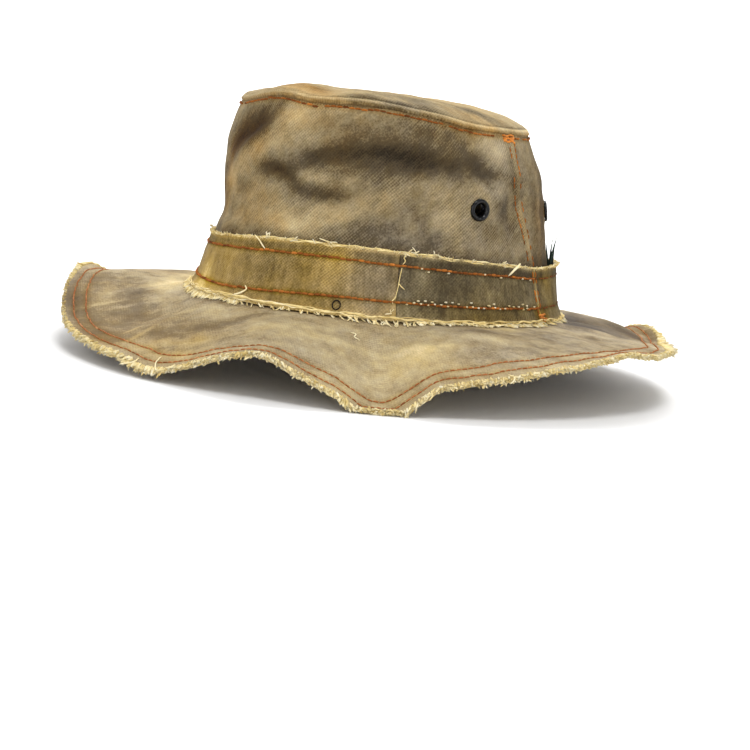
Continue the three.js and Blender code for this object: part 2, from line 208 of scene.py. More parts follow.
tip = {
    "wall": 1.6, "level": 100, "rise": 8.5, "power": 4.5, "overhang": 0.4,
    "cloth": (1, 1), "grid": (104, 104), "crowding": 1.5,
    "lip": {"start": 0.955, "reach": 0.8, "drop": 1.9},
    "cord": {"reach": 0.987, "spread": 0.0045, "lift": 0.6, "crease": 0.974},
    "flatFront": {"turn": 7, "spread": 32, "share": 0.9},  # where the cord is pressed flat
    "side": {"start": 0.988, "end": 0.997, "stretch": 0.035},  # the lip's side, below the cord
    # painted shadow along the crease above the cord and painted shade on the lip's side below it; the paler
    # top is partly painted light on the upward face
    "tone": {"top": 0.2, "besideCord": 0.06, "cord": 0.6, "crease": -0.3, "side": -0.1},
    "warm": {"top": 0.1, "side": 0.5},
    "unevenness": rowsOf(unevenColumns, (0.5, 38, 11), (0.14, 12, 12)),
    "stainsAndShade": rowsOf(
        stainAndShadeColumns,  # turn and share hold x and y in the plan here
        (14, -74, 22, 8, 20, -0.2, 0.5), (48, -22, 22, 9, 70, -0.45, -0.2), (50, 16, 16, 7, 60, -0.6, -0.4),
        (30, -70, 16, 8, 40, 0.35, 0.4), (56, 40, 16, 10, 80, -0.1, 0.1), (0, 10, 40, 26, 10, 0.1, 0.2),
        (28, -66, 7, 4, 50, -0.35, 0.3), (50, -55, 11, 4, 58, -0.65, 0), (60, -42, 12, 4, 75, -0.3, -0.2),
        (62, -24, 20, 4, 82, -0.45, -0.1), (-34, -30, 26, 12, 30, -0.3, 0.2),
        (-24, 42, 24, 14, -30, 0.25, -0.2)),
}

brim = {
    "wall": 2.2, "halfWidth": 154, "halfLength": 170, "ledge": 3.5, "droop": 1.2,
    "cloth": (2.2, 69), "grid": (600, 66),
    "folds": rowsOf(
        "turn edge",
        (-54, 25), (-40, 33), (-30, 27), (-20, 18.5), (-10, 12), (2, 8.5), (14, 6.5), (21, 3.5), (41, 19.5),
        (54, 7.5), (63, -6), (73, 14.5), (82, 18.5), (112, 30), (149, 24), (171, 28.5), (186, 17.5),
        (212, -6), (245, 23), (277, -6)),
    "sags": rowsOf(
        "turn spread sag deepest",
        (174, 20, 3.5, 0.76), (171, 20, -1.8, 0.33), (-64, 20, -4, 0.5), (-46, 9, 3, 0.88), (-5, 11, 7, 0.5),
        (86, 12, -4, 0.5)),
    "creases": rowsOf(
        pushColumns,
        (152, 0.18, 22, 5, 75, -1.8), (132, 0.22, 22, 4, 78, 1.5), (122, 0.46, 14, 6, 60, -1.2),
        (160, 0.83, 26, 7, 0, -2.4),
        (118, 0.4, 20, 7, 30, 0.8), (60, 0.3, 30, 8, 8, -0.6), (84, 0.35, 26, 7, 12, 0.6),
        (30, 0.45, 24, 6, -14, 0.7), (12, 0.5, 26, 6, 70, -0.6), (-10, 0.5, 26, 6, 80, 0.6),
        (-25, 0.5, 24, 6, 86, -0.6), (230, 0.4, 24, 7, 60, 0.8), (300, 0.4, 26, 7, 110, -0.8)),
    "unevenness": rowsOf(unevenColumns, (0.55, 30, 21), (0.18, 11, 22)),
    "calmFoot": 0.12,  # share over which the creases begin
    "clothEdge": 1.004,  # share where the woven cloth ends and the fray goes on
    "edgeWave": {"share": 0.005, "size": 9, "seed": 24, "start": 0.9},
    "paleEdge": {"start": 0.97, "tone": 0.5, "warm": 0.4},
    # painted shade on the brim beside the band's foot
    "shadeNearBand": {"shares": (0.03, 0.14), "tone": -0.25},
    # a corner where the cloth has frayed away
    "wornBack": {"turn": 147, "spread": 14, "share": 0.14, "start": 0.5, "full": 0.8},
    "rowShares": (0.83, 0.922),  # the two stitch rows
    "rowDip": {"depth": 0.35, "halfWidth": 1.3},
    "rowRust": {"halfWidth": 1.7, "tone": -0.1, "warm": 0.5},
    # stains and painted shade: the dark rows at the rear, beside the band's foot and over the rear slope,
    # stand in for the shade there
    "stainsAndShade": rowsOf(
        stainAndShadeColumns,
        (0, 0.56, 58, 20, 0, -0.6, 0.2), (-22, 0.68, 9, 6, 0, 0.45, 0.3), (-27, 0.2, 20, 11, 10, 0.6, 0.5),
        (-19, 0.42, 10, 6, 0, -0.35, 0), (-24, 0.97, 40, 5, 0, -0.35, -0.2), (-14, 0.86, 40, 8, 0, -0.4, 0.3),
        (3, 0.9, 16, 7, 0, -0.35, 0.4), (17, 0.71, 14, 3.5, -20, 0.4, 0.3), (20, 0.86, 20, 7, -8, 0.4, 0.3),
        (24, 0.6, 9, 4, 20, 0.2, 0.3), (23, 0.42, 12, 6, -30, -0.5, 0), (29, 0.22, 14, 4, -30, -0.45, 0),
        (41, 0.43, 22, 7, -12, 0.3, 0.2), (10, 0.09, 26, 5, 0, -0.35, 0), (54, 0.42, 10, 6, 10, 0.2, 0),
        (71, 0.47, 14, 8, 20, 0.4, 0.3), (61, 0.78, 7, 5, 0, -0.2, 0), (85, 0.45, 14, 4, 10, 0.25, 0.1),
        (68, 0.6, 18, 8, 0, 0.2, 0.2), (105, 0.41, 12, 8, 0, -0.3, -0.2), (136, 0.09, 10, 6, 0, -0.75, -0.2),
        (152, 0.17, 7, 5, 90, -0.6, -0.3), (152, 0.7, 12, 6, 0, -0.9, 0.1), (81, 0.66, 9, 7, 0, -0.3, -0.1),
        (95, 0.25, 30, 8, 8, -0.35, -0.2), (94, 0.78, 40, 8, 0, -0.2, -0.1),
        (96, 0.6, 34, 20, 0, -0.2, -0.25), (157, 0.14, 16, 6, 10, -0.6, -0.5),
        (140, 0.25, 18, 3, 105, -0.6, -0.4), (121, 0.48, 6, 5, 0, -0.6, 0.2),
        (150, 0.3, 36, 18, 0, -0.85, -0.5), (136, 0.24, 14, 10, 15, -0.5, -0.3),
        (158, 0.6, 26, 12, 0, -0.8, 0.1), (140, 0.56, 10, 6, 20, -0.4, 0), (162, 0.92, 22, 6, 0, -0.6, 0.3),
        (128, 0.62, 16, 5, 30, -0.2, -0.2),
        (-17, 0.7, 12, 1.5, 88, 0.6, 0), (-14, 0.56, 9, 1.5, 96, 0.4, 0), (4, 0.66, 8, 1.5, 80, 0.5, 0.2),
        (9, 0.7, 10, 1.6, 84, 0.45, 0.3), (143, 0.12, 16, 8, 0, -0.4, -0.3), (-33, 0.78, 8, 6, 0, -0.3, 0.3))
    + strayStains(22, (160, 318), (0.15, 0.95), 57),
}

band = {
    "wall": 1.8, "joinTurn": 68, "seamTurn": 123, "seamGap": 0.1,
    "cloth": (1.6, 30), "gridRows": 26, "columnTurn": 0.9,
    "top": rowsOf("turn height", (-120, 29), (-20, 29), (45, 34), (106, 30.5), (126, 28)),
    "loose": rowsOf("turn spread stand", (150, 17, 3.8), (40, 26, 0.6)),
    "unevenness": rowsOf(unevenColumns, (0.3, 24, 31), (0.1, 8, 32)),
    "edgeWave": {"share": 0.012, "size": 7, "seed": 34, "level": 0.3},
    "footFlare": {"out": 1.4, "height": 3.6},
    "topRoll": {"out": 0.7, "start": 0.92, "end": 1.02},
    "paleTop": {"tone": 0.9, "toneWidth": 1.1, "warm": 0.2, "warmWidth": 2},
    "paleFoot": {"tone": 0.8, "toneWidth": 1.5, "warm": 0.1, "warmWidth": 5},
    # painted shadow under the band's rolled upper edge
    "shadowUnderTop": {"tone": -0.3, "depth": 3.2, "width": 1.5},
    "seamRidge": {"halfWidth": 1.2, "lift": 0.5, "tone": 0.9, "warm": 0.5},
    "rows": rowsOf("climb drop", (0.27, 0.09), (0.81, 0)),  # the two stitch rows
    "rowDrop": {"turn": 7, "spread": 30},  # where the lower row runs closer to the foot
    "rowDip": {"depth": 0.3, "halfWidth": 1.2, "tone": -0.3, "warm": 0.5},
    "stainsAndShade": rowsOf(
        stainAndShadeColumns,
        (0, 0.55, 22, 12, 0, 0.1, 0.2), (24, 0.5, 16, 10, 0, -0.15, 0), (49, 0.8, 8, 8, 10, 0.4, 0.3),
        (62, 0.5, 17, 18, 0, -0.25, -0.7), (40, 0.54, 8, 9, 0, -0.2, 0.1), (12, 0.12, 30, 5, 0, -0.15, -0.2),
        (59, 0.12, 10, 5, 0, 0.25, -0.1), (66, 0.62, 5, 12, 0, -0.25, 0), (84, 0.55, 11, 10, 0, -0.15, 0),
        (-6, 0.22, 7, 8, 0, 0.75, 0.3), (134, 0.85, 8, 6, 0, 0.3, 0.1),
        (97, 0.5, 9, 10, 0, 0.1, 0.1), (110, 0.45, 12, 10, 0, -0.1, 0.2), (100, 0.12, 34, 5, 0, -0.1, 0.6),
        (134, 0.5, 14, 16, 0, 0.35, 0.7), (126, 0.1, 5, 6, 0, -0.1, 1.2), (121, 0.14, 3, 5, 0, -0.1, 1),
        (129, 0.76, 10, 5, -12, -0.2, 0.4), (0, 0.1, 24, 5, 0, 0.35, 0.4), (50, 0.14, 6, 5, 0, -0.3, 0),
        (68, 0.15, 4, 6, 0, 0.45, 0.2)),
}

eyelets = rowsOf(
    "node turn share",
    ("eyelet_left_side", 96, 0.585), ("eyelet_left_back", 150, 0.585),
    ("eyelet_right_side", -96, 0.585), ("eyelet_right_back", -150, 0.585))
eyeletSize = {
    "hole": 3, "barrel": 3.9, "flange": 5.8, "washer": 5.4, "thick": 0.9, "gap": 0.6, "bend": 1.2,
    "clothHole": 1.13, "steps": 48,
}


def ovalPoint(turn, halfWidth, halfLength, forward, height):
    angle = np.radians(turn)
    x = halfWidth * np.sin(angle)
    y = -halfLength * np.cos(angle) - forward
    return np.stack(np.broadcast_arrays(x, y, height), -1)


def outward(surface, turn, share, turnStep=0.5, shareStep=0.01):
    sideways = surface(turn + turnStep, share) - surface(turn - turnStep, share)
    upwards = surface(turn, share + shareStep) - surface(turn, share - shareStep)
    return unit(np.cross(sideways, upwards))


def tipSeamHeight(turn):
    return curve(crown["tipSeam"], "turn", "height", turn, closed=True)


def crownSmooth(turn, share):
    columns = ("halfWidth", "halfLength", "forward")
    sizes = [curve(crown["sections"], "share", column, share) for column in columns]
    return ovalPoint(turn, *sizes, baseHeight + sewGap + share * tipSeamHeight(turn))


def offCrown(turn, share, stand):
    # points that stand off the smooth crown
    return crownSmooth(turn, share) + outward(crownSmooth, turn, share) * stand[..., None]


def seamTurn(share):
    return curve(crown["rearSeam"], "share", "turn", share)


def besideSeam(turn, share):
    return (np.abs(turnBetween(0, turn)) - seamTurn(share)) * crown["cloth"][0]


def besideEyelet(turn, share):
    # distance to the nearest eyelet's middle, in mm of cloth
    near = np.full(np.broadcast(turn, share).shape, 1e3)
    for eyelet in eyelets:
        sideways = turnBetween(eyelet["turn"], turn) * crown["cloth"][0]
        near = np.minimum(near, np.hypot(sideways, (share - eyelet["share"]) * crown["cloth"][1]))
    return near


def dentPush(turn, share):
    low, full, hold, end = crown["dentFade"]
    shown = smooth(share, low, full) * (1 - smooth(share, hold, end))
    return spots(crown, "dents", "push", turn, share) * shown


def crownSurface(turn, share):
    ridge, pad = crown["seamRidge"], crown["eyeletPad"]
    fromEyelet = besideEyelet(turn, share)
    fine = spots(crown, "creases", "push", turn, share) + unevenness(crown, crownSmooth(turn, share))
    fine *= 1 - np.exp(-(fromEyelet / pad["calm"]) ** 4)
    fine += pad["lift"] * np.exp(-(fromEyelet / pad["reach"]) ** 6)
    onSeam = bell(besideSeam(turn, share), ridge["halfWidth"])
    fine += ridge["lift"] * onSeam * smooth(share, ridge["start"], ridge["full"])
    return offCrown(turn, share, dentPush(turn, share) + fine)


def cordShown(turn):
    return 1 - tip["flatFront"]["share"] * turnBell(tip["flatFront"], turn)


def onCord(reach, middle):
    return bell(reach - tip["cord"][middle], tip["cord"]["spread"])


def tipSurface(x, y):
    # x and y run over a disc of unit radius
    last = crown["sections"][-1]
    reach = np.clip(np.hypot(x, y), 0, 1)
    turn = np.degrees(np.arctan2(x, -y))
    lip = smooth(reach, tip["lip"]["start"], 1)
    height = baseHeight + 2 * sewGap + tip["level"] + (tipSeamHeight(turn) - tip["level"]) * reach ** 2
    height += tip["rise"] * (1 - reach ** tip["power"]) + tip["wall"] - tip["lip"]["drop"] * lip ** 2
    height += tip["cord"]["lift"] * cordShown(turn) * onCord(reach, "reach")
    grow = 1 + tip["lip"]["reach"] * lip / last["halfWidth"]
    wide = (last["halfWidth"] + tip["overhang"]) * grow
    long = (last["halfLength"] + tip["overhang"]) * grow
    points = np.stack([wide * x, long * y - last["forward"], height], -1)
    points[..., 2] += unevenness(tip, points) * (1 - lip)
    return points


def brimSmooth(turn, share):
    # underside of the brim, as its solid has it
    foot = crown["sections"][0]
    out = np.maximum(0, share)
    ledge = np.minimum(0, share) * brim["ledge"]
    start = baseHeight - brim["wall"]
    fall = (curve(brim["folds"], "turn", "edge", turn, closed=True) - start) * out ** brim["droop"]
    for row in brim["sags"]:
        hollow = np.sin(np.pi * np.minimum(out, 1) ** (math.log(0.5) / math.log(row["deepest"])))
        fall = fall - row["sag"] * hollow * turnBell(row, turn)
    wide = foot["halfWidth"] + (brim["halfWidth"] - foot["halfWidth"]) * out + ledge
    long = foot["halfLength"] + (brim["halfLength"] - foot["halfLength"]) * out + ledge
    return ovalPoint(turn, wide, long, 0, np.maximum(0, start + fall))


def wornEdge(turn):
    # share of the brim's width that is left at its worn corner
    return 1 - brim["wornBack"]["share"] * turnBell(brim["wornBack"], turn)


def onBrimRows(turn, share, halfWidth):
    # 1 on the brim's stitch rows, fading beside them
    gaps = [(share - rowShare * wornEdge(turn)) * brim["cloth"][1] for rowShare in brim["rowShares"]]
    return sum(bell(gap, halfWidth) for gap in gaps)


def brimSurface(turn, share, lift=0.0):
    # upper face of the brim with its creases and the dips of its stitch rows
    points = brimSmooth(turn, share)
    fine = spots(brim, "creases", "push", turn, share) + unevenness(brim, points)
    fine -= brim["rowDip"]["depth"] * onBrimRows(turn, share, brim["rowDip"]["halfWidth"])
    fine *= smooth(share, 0, brim["calmFoot"])
    points[..., 2] = np.maximum(0, points[..., 2] + fine) + brim["wall"] + lift
    return points


def bandTopHeight(turn):
    return curve(band["top"], "turn", "height", turn, closed=True)


def onBandSeam(turn):
    beside = (np.abs(turnBetween(0, turn)) - band["seamTurn"]) * band["cloth"][0]
    return bell(beside, band["seamRidge"]["halfWidth"])


def rowClimb(row, turn):
    return row["climb"] - row["drop"] * turnBell(band["rowDrop"], turn)


def onBandRows(turn, climb):
    gaps = [(climb - rowClimb(row, turn)) * band["cloth"][1] for row in band["rows"]]
    return sum(bell(gap, band["rowDip"]["halfWidth"]) for gap in gaps)


def bandSurface(turn, climb, out=0.0):
    # outer face of the band, climb 0 at its foot and 1 at its upper edge
    height = climb * bandTopHeight(turn)
    share = height / tipSeamHeight(turn)
    flare, roll = band["footFlare"], band["topRoll"]
    stand = sewGap + band["wall"] + out + unevenness(band, crownSmooth(turn, share))
    for row in band["loose"]:
        stand += row["stand"] * climb * turnBell(row, turn)
    stand += flare["out"] * bell(height, flare["height"])
    stand += roll["out"] * smooth(climb, roll["start"], roll["end"])
    stand += band["seamRidge"]["lift"] * onBandSeam(turn)
    stand -= band["rowDip"]["depth"] * onBandRows(turn, climb)
    return offCrown(turn, share, stand)


# Materials

def srgb(red, green, blue):
    parts = [part / 255 for part in (red, green, blue)]
    return tuple(((part + 0.055) / 1.055) ** 2.4 for part in parts) + (1,)


def node(tree, kind, inputs=None, **settings):
    made = tree.nodes.new(kind)
    for key, value in settings.items():
        setattr(made, key, value)
    for socket, value in (inputs or {}).items():
        if isinstance(value, bpy.types.NodeSocket):
            tree.links.new(value, made.inputs[socket])
        else:
            made.inputs[socket].default_value = value
    return made


def maths(tree, operation, first, second=0.0):
    return node(tree, "ShaderNodeMath", {0: first, 1: second}, operation=operation).outputs[0]


def times(tree, first, second):
    return maths(tree, "MULTIPLY", first, second)


def addUp(tree, *parts):
    total = parts[0]
    for part in parts[1:]:
        total = maths(tree, "ADD", total, part)
    return total


def clamp(tree, value, low, high):
    return node(tree, "ShaderNodeClamp", {"Value": value, "Min": low, "Max": high}).outputs[0]


def noise(tree, vector, scale, detail, roughness, strength=1.0):
    # noise about zero, times its strength
    inputs = {"Vector": vector, "Scale": scale, "Detail": detail, "Roughness": roughness}
    made = node(tree, "ShaderNodeTexNoise", inputs)
    return times(tree, maths(tree, "SUBTRACT", made.outputs[0], 0.5), strength)


def ramp(tree, value, places, colours):
    made = node(tree, "ShaderNodeValToRGB", {0: value})
    marks = made.color_ramp.elements
    marks[0].position, marks[0].color = places[0], srgb(*colours[0])
    marks[1].position, marks[1].color = places[-1], srgb(*colours[-1])
    for place, colour in list(zip(places, colours))[1:-1]:
        marks.new(place).color = srgb(*colour)
    return made.outputs["Color"]


def attribute(tree, name):
    return node(tree, "ShaderNodeAttribute", attribute_name=name).outputs["Fac"]


def uvMap(tree, name):
    return node(tree, "ShaderNodeUVMap", uv_map=name).outputs["UV"]


def startMaterial(name):
    material = bpy.data.materials.new(name)
    material.use_nodes = True
    tree = material.node_tree
    tree.nodes.clear()
    return material, tree, node(tree, "ShaderNodeTexCoord").outputs["Object"]


def finishMaterial(tree, colour, roughness, normal, specular):
    shader = node(tree, "ShaderNodeBsdfPrincipled", {
        "Base Color": colour, "Roughness": roughness, "Normal": normal, "Specular IOR Level": specular})
    node(tree, "ShaderNodeOutputMaterial", {"Surface": shader.outputs[0]})


def bump(tree, height, distance, normal=None):
    inputs = {"Height": height, "Distance": distance * mm, "Strength": 1.0}
    if normal is not None:
        inputs["Normal"] = normal
    return node(tree, "ShaderNodeBump", inputs).outputs[0]


# noise is given by its scale, detail and roughness
weaving = {
    "pitch": 1.25, "wanderScale": 260.0, "wander": 0.0003, "warp": 0.65, "weft": 0.35,
    "patches": (30.0, 2.0, 0.5, 3.2), "shown": 0.55, "least": 0.1,
}
clothNoise = {
    "mottle": (24.0, 6.0, 0.65), "blotch": (120.0, 5.0, 0.7), "speck": (950.0, 3.0, 0.7),
    "heat": (19.0, 4.0, 0.6), "fineHeat": (150.0, 3.0, 0.6), "streak": (1.0, 5.0, 0.65),
    "wrinkle": (75.0, 5.0, 0.6), "fuzz": (1900.0, 3.0, 0.7), "wear": (60.0, 3.0, 0.6, 0.3),
}
clothPlaces = (0, 0.3, 0.5, 0.72, 1)  # ramp places from dark cloth, grimed or with painted shade, to pale rubbed cloth


def weaveHeight(tree, place, flat, bias):
    # threads that cross on the bias, clearer in some places than in others
    wander = node(tree, "ShaderNodeTexNoise", {
        "Vector": flat, "Scale": weaving["wanderScale"], "Detail": 1.0})
    wander = node(
        tree, "ShaderNodeVectorMath", {0: wander.outputs["Color"], "Scale": weaving["wander"]},
        operation="SCALE").outputs[0]
    threads = node(tree, "ShaderNodeVectorMath", {0: flat, 1: wander}, operation="ADD").outputs[0]
    pace = 2 * math.pi / (weaving["pitch"] * mm)
    turned = node(tree, "ShaderNodeMapping", {
        "Vector": threads, "Rotation": (0, 0, math.radians(bias)), "Scale": (pace, pace, pace)})
    split = node(tree, "ShaderNodeSeparateXYZ", {0: turned.outputs[0]})
    warp = times(tree, maths(tree, "SINE", split.outputs[0]), weaving["warp"])
    weft = times(tree, maths(tree, "SINE", split.outputs[1]), weaving["weft"])
    patches = addUp(tree, noise(tree, place, *weaving["patches"]), weaving["shown"])
    return times(tree, addUp(tree, warp, weft), clamp(tree, patches, weaving["least"], 1.0))


def streaks(tree, vector, look):
    # noise drawn out along one direction, its grain given in metres
    turned = node(tree, "ShaderNodeMapping", {
        "Vector": vector, "Rotation": (0, 0, math.radians(look["turn"])), "Scale": look["grain"]},
        vector_type="TEXTURE")
    return noise(tree, turned.outputs[0], *clothNoise["streak"], look["strength"])


def canvas(name, look):
    # worn canvas: a ramp from dark cloth, grimed or with painted shade, to rubbed cloth, driven by stains,
    # painted shade, mottling, streaks and the weave
    material, tree, place = startMaterial(name)
    flat = uvMap(tree, "cloth")
    weave = weaveHeight(tree, place, flat, look["bias"])
    drawn = flat if look["streaksOnCloth"] else place
    shade = addUp(
        tree,
        times(tree, attribute(tree, "tone"), 0.45),
        *(noise(tree, place, *clothNoise[key], look[key]) for key in ("mottle", "blotch", "speck")),
        *(streaks(tree, drawn, streak) for streak in look["streaks"]),
        times(tree, weave, look["weave"]),
        look["base"],
    )
    heat = addUp(
        tree, attribute(tree, "warm"), noise(tree, place, *clothNoise["heat"], look["heat"]),
        noise(tree, place, *clothNoise["fineHeat"], look["heat"] / 2))
    strong = clamp(tree, addUp(tree, times(tree, heat, 0.4), 1.0), 0.6, 1.5)
    browned = times(tree, clamp(tree, heat, 0.0, 1.0), -look["browning"])
    colour = node(tree, "ShaderNodeHueSaturation", {
        "Hue": addUp(tree, browned, 0.5), "Saturation": strong,
        "Color": ramp(tree, shade, clothPlaces, look["ramp"])}).outputs[0]

    normal = bump(tree, noise(tree, place, *clothNoise["wrinkle"]), look["wrinkleHeight"])
    normal = bump(tree, weave, look["weaveHeight"], normal)
    normal = bump(tree, noise(tree, flat, *clothNoise["fuzz"]), look["fuzzHeight"], normal)
    wear = addUp(tree, noise(tree, place, *clothNoise["wear"]), look["roughness"])
    finishMaterial(tree, colour, clamp(tree, wear, 0.5, 1.0), normal, 0.12)
    return material


def yarn(name, look):
    # spun thread: tone along a ramp, paler to its tip, with a twist round each strand
    material, tree, place = startMaterial(name)
    split = node(tree, "ShaderNodeSeparateXYZ", {0: uvMap(tree, "thread")})
    lay = addUp(tree, split.outputs[0], times(tree, split.outputs[1], look["twists"]))
    ply = maths(tree, "SINE", times(tree, lay, 4 * math.pi))
    shade = addUp(
        tree, attribute(tree, "tone"), times(tree, attribute(tree, "along"), look["tipLight"]),
        times(tree, ply, look["ply"]), noise(tree, place, 260.0, 4.0, 0.65, look["mottle"]))
    normal = bump(tree, ply, look["plyHeight"])
    normal = bump(tree, noise(tree, place, 2600.0, 2.0, 0.6), look["fuzzHeight"], normal)
    colour = ramp(tree, shade, look["places"], look["ramp"])
    finishMaterial(tree, colour, look["roughness"], normal, 0.15)
    return material


def enamel(name):
    # black enamel over metal, rubbed to grey in specks
    material, tree, place = startMaterial(name)
    rubbed = addUp(tree, noise(tree, place, 420.0, 5.0, 0.65, 1.6), 0.22)
    shades = ((6, 6, 7), (11, 11, 12), (30, 28, 26), (84, 78, 68))
    colour = ramp(tree, rubbed, (0, 0.6, 0.85, 1), shades)
    roughness = clamp(tree, addUp(tree, noise(tree, place, 900.0, 3.0, 0.6, 0.12), 0.12), 0.08, 0.3)
    normal = bump(tree, noise(tree, place, 700.0, 3.0, 0.6), 0.02)
    finishMaterial(tree, colour, roughness, normal, 0.3)
    return material


streakColumns = "turn grain strength"
crownCanvas = canvas("crown_canvas", {
    "ramp": ((38, 30, 19), (84, 71, 49), (138, 122, 90), (180, 161, 121), (226, 208, 165)),
    "base": 0.48, "mottle": 0.4, "blotch": 0.3, "speck": 0.4, "heat": 1.8,
    "weave": 0.095, "bias": 45, "browning": 0.02, "streaksOnCloth": True,
    "streaks": rowsOf(streakColumns, (25, (0.04, 0.012, 1), 0.3), (35, (0.012, 0.0025, 1), 0.25)),
    "wrinkleHeight": 0.5, "weaveHeight": 0.13, "fuzzHeight": 0.07, "roughness": 0.86,
})
# the brim's ramp is paler than the crown's, partly its own colour and partly painted light on its upward face
brimCanvas = canvas("brim_canvas", {
    "ramp": ((82, 69, 52), (124, 108, 82), (165, 149, 116), (196, 180, 142), (234, 218, 178)),
    "base": 0.49, "mottle": 0.55, "blotch": 0.5, "speck": 0.4, "heat": 1.8,
    "weave": 0.07, "bias": 20, "browning": 0.006, "streaksOnCloth": False,
    "streaks": rowsOf(streakColumns, (58, (0.05, 0.013, 0.03), 0.34), (58, (0.014, 0.004, 0.006), 0.2)),
    "wrinkleHeight": 0.6, "weaveHeight": 0.1, "fuzzHeight": 0.06, "roughness": 0.84,
})
bandCanvas = canvas("band_canvas", {
    "ramp": ((58, 46, 22), (104, 86, 47), (144, 121, 74), (180, 154, 98), (228, 208, 158)),
    "base": 0.48, "mottle": 0.4, "blotch": 0.5, "speck": 0.5, "heat": 0.9,
    "weave": 0.13, "bias": 45, "browning": 0, "streaksOnCloth": True,
    "streaks": rowsOf(streakColumns, (0, (0.009, 0.05, 1), 0.4), (0, (0.0024, 0.009, 1), 0.4)),
    "wrinkleHeight": 0.4, "weaveHeight": 0.16, "fuzzHeight": 0.07, "roughness": 0.86,
})
patchCanvas = canvas("patch_canvas", {
    "ramp": ((38, 31, 20), (72, 62, 43), (106, 94, 67), (148, 132, 96), (212, 194, 148)),
    "base": 0.45, "mottle": 0.4, "blotch": 0.5, "speck": 0.5, "heat": 1.0,
    "weave": 0.14, "bias": 45, "browning": 0.006, "streaksOnCloth": True,
    "streaks": rowsOf(streakColumns, (0, (0.01, 0.04, 1), 0.45), (0, (0.0024, 0.009, 1), 0.4)),
    "wrinkleHeight": 0.4, "weaveHeight": 0.17, "fuzzHeight": 0.07, "roughness": 0.88,
})

sewingThread = {
    "twists": 4, "tipLight": 0.0, "mottle": 0.6, "plyHeight": 0.06, "fuzzHeight": 0.03, "roughness": 0.8,
}
frayYarn = yarn("fray_yarn", {
    **sewingThread, "places": (0, 0.35, 0.6, 1),
    "ramp": ((160, 132, 76), (214, 187, 119), (240, 219, 158), (252, 244, 214)),
    "twists": 3, "tipLight": 0.15, "ply": 0.06, "plyHeight": 0.08, "fuzzHeight": 0.08, "roughness": 0.92,
})
rustThread = yarn("rust_thread", {
    **sewingThread, "places": (0, 0.35, 0.65, 1),
    "ramp": ((74, 37, 13), (126, 70, 26), (166, 98, 40), (226, 142, 62)),
    "ply": 0.18, "roughness": 0.78,
})
fadedThread = yarn("faded_thread", {
    **sewingThread, "places": (0, 0.5, 1), "ramp": ((116, 66, 36), (172, 106, 64), (214, 158, 106)),
    "ply": 0.1,
})
darkThread = yarn("dark_thread", {
    **sewingThread, "places": (0, 0.5, 1), "ramp": ((20, 16, 11), (36, 29, 21), (76, 66, 52)),
    "twists": 10, "ply": 0.15, "mottle": 0.4,
})
featherVane = yarn("feather_vane", {
    "places": (0, 0.5, 1), "ramp": ((8, 12, 9), (20, 32, 26), (50, 74, 60)),
    "twists": 1, "tipLight": 0.15, "ply": 0.0, "mottle": 0.3, "plyHeight": 0.02, "fuzzHeight": 0.02,
    "roughness": 0.5,
})
blackEnamel = enamel("black_enamel")
print("materials made")


# Making of cloth, turned shapes and strands

mergeDistance = 1e-6  # in metres


def linked(name, data):
    made = bpy.data.objects.new(name, data)
    bpy.context.scene.collection.objects.link(made)
    return made


def addPiece(mesh, material, replaced=()):
    piece = linked(mesh.name, mesh)
    mesh.materials.append(material)
    mesh.shade_smooth()
    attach(piece, "root")
    if replaced:
        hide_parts(*replaced)
    return piece


def setFloats(mesh, name, values):
    layer = mesh.attributes.new(name, "FLOAT", "POINT")
    layer.data.foreach_set("value", np.asarray(values, np.float32).ravel())


def setUv(mesh, name, pairs):
    layer = mesh.uv_layers.new(name=name)
    layer.data.foreach_set("uv", np.asarray(pairs, np.float32).ravel())


def meshFrom(shape, name):
    mesh = bpy.data.meshes.new(name)
    shape.to_mesh(mesh)
    shape.free()
    return mesh


def lathe(profile, closed, steps):
    # a line of radius and height in metres, turned round the upright axis
    turned = bmesh.new()
    points = [turned.verts.new((radius, 0, height)) for radius, height in profile]
    for first, second in zip(points, points[1:] + points[:closed]):
        turned.edges.new((first, second))
    bmesh.ops.spin(
        turned, geom=turned.verts[:] + turned.edges[:], cent=(0, 0, 0), axis=(0, 0, 1),
        angle=2 * math.pi, steps=steps, use_merge=True)
    bmesh.ops.remove_doubles(turned, verts=turned.verts, dist=mergeDistance)
    bmesh.ops.recalc_face_normals(turned, faces=turned.faces)
    return turned


def clothSheet(name, grid, shape, closed=False):
    # a grid whose points take the places, cloth coordinates, stains and painted shade that a shape gives them
    flat = bmesh.new()
    bmesh.ops.create_grid(flat, x_segments=grid[0], y_segments=grid[1], size=0.5)
    mesh = meshFrom(flat, name)
    spread = np.empty(len(mesh.vertices) * 3, np.float32)
    mesh.vertices.foreach_get("co", spread)
    spread = spread.reshape(-1, 3).astype(float) + 0.5
    cloth = shape(spread[:, 0], spread[:, 1])
    mesh.vertices.foreach_set("co", (cloth["points"] * mm).astype(np.float32).ravel())
    corners = np.empty(len(mesh.loops), np.int32)
    mesh.loops.foreach_get("vertex_index", corners)
    setUv(mesh, "cloth", cloth["flat"][corners] * mm)
    setFloats(mesh, "tone", cloth["tone"])
    setFloats(mesh, "warm", cloth["warm"])
    if closed:
        joined = bmesh.new()
        joined.from_mesh(mesh)
        bmesh.ops.remove_doubles(joined, verts=joined.verts, dist=mergeDistance)
        joined.to_mesh(mesh)
        joined.free()
    mesh.update()
    return mesh


def cutHoles(mesh, places, radius):
    sheet = bmesh.new()
    sheet.from_mesh(mesh)
    for place in places:
        middle = Vector(place)
        inside = [vertex for vertex in sheet.verts if (vertex.co - middle).length < radius]
        bmesh.ops.delete(sheet, geom=inside, context="VERTS")
    sheet.to_mesh(mesh)
    sheet.free()


def addCloth(mesh, nodeName, wall, material):
    # a thickened sheet in the place of its solid
    piece = addPiece(mesh, material, [nodeName])
    solid = piece.modifiers.new("wall", "SOLIDIFY")
    solid.thickness = wall * mm
    solid.offset = -1
    solid.use_quality_normals = True


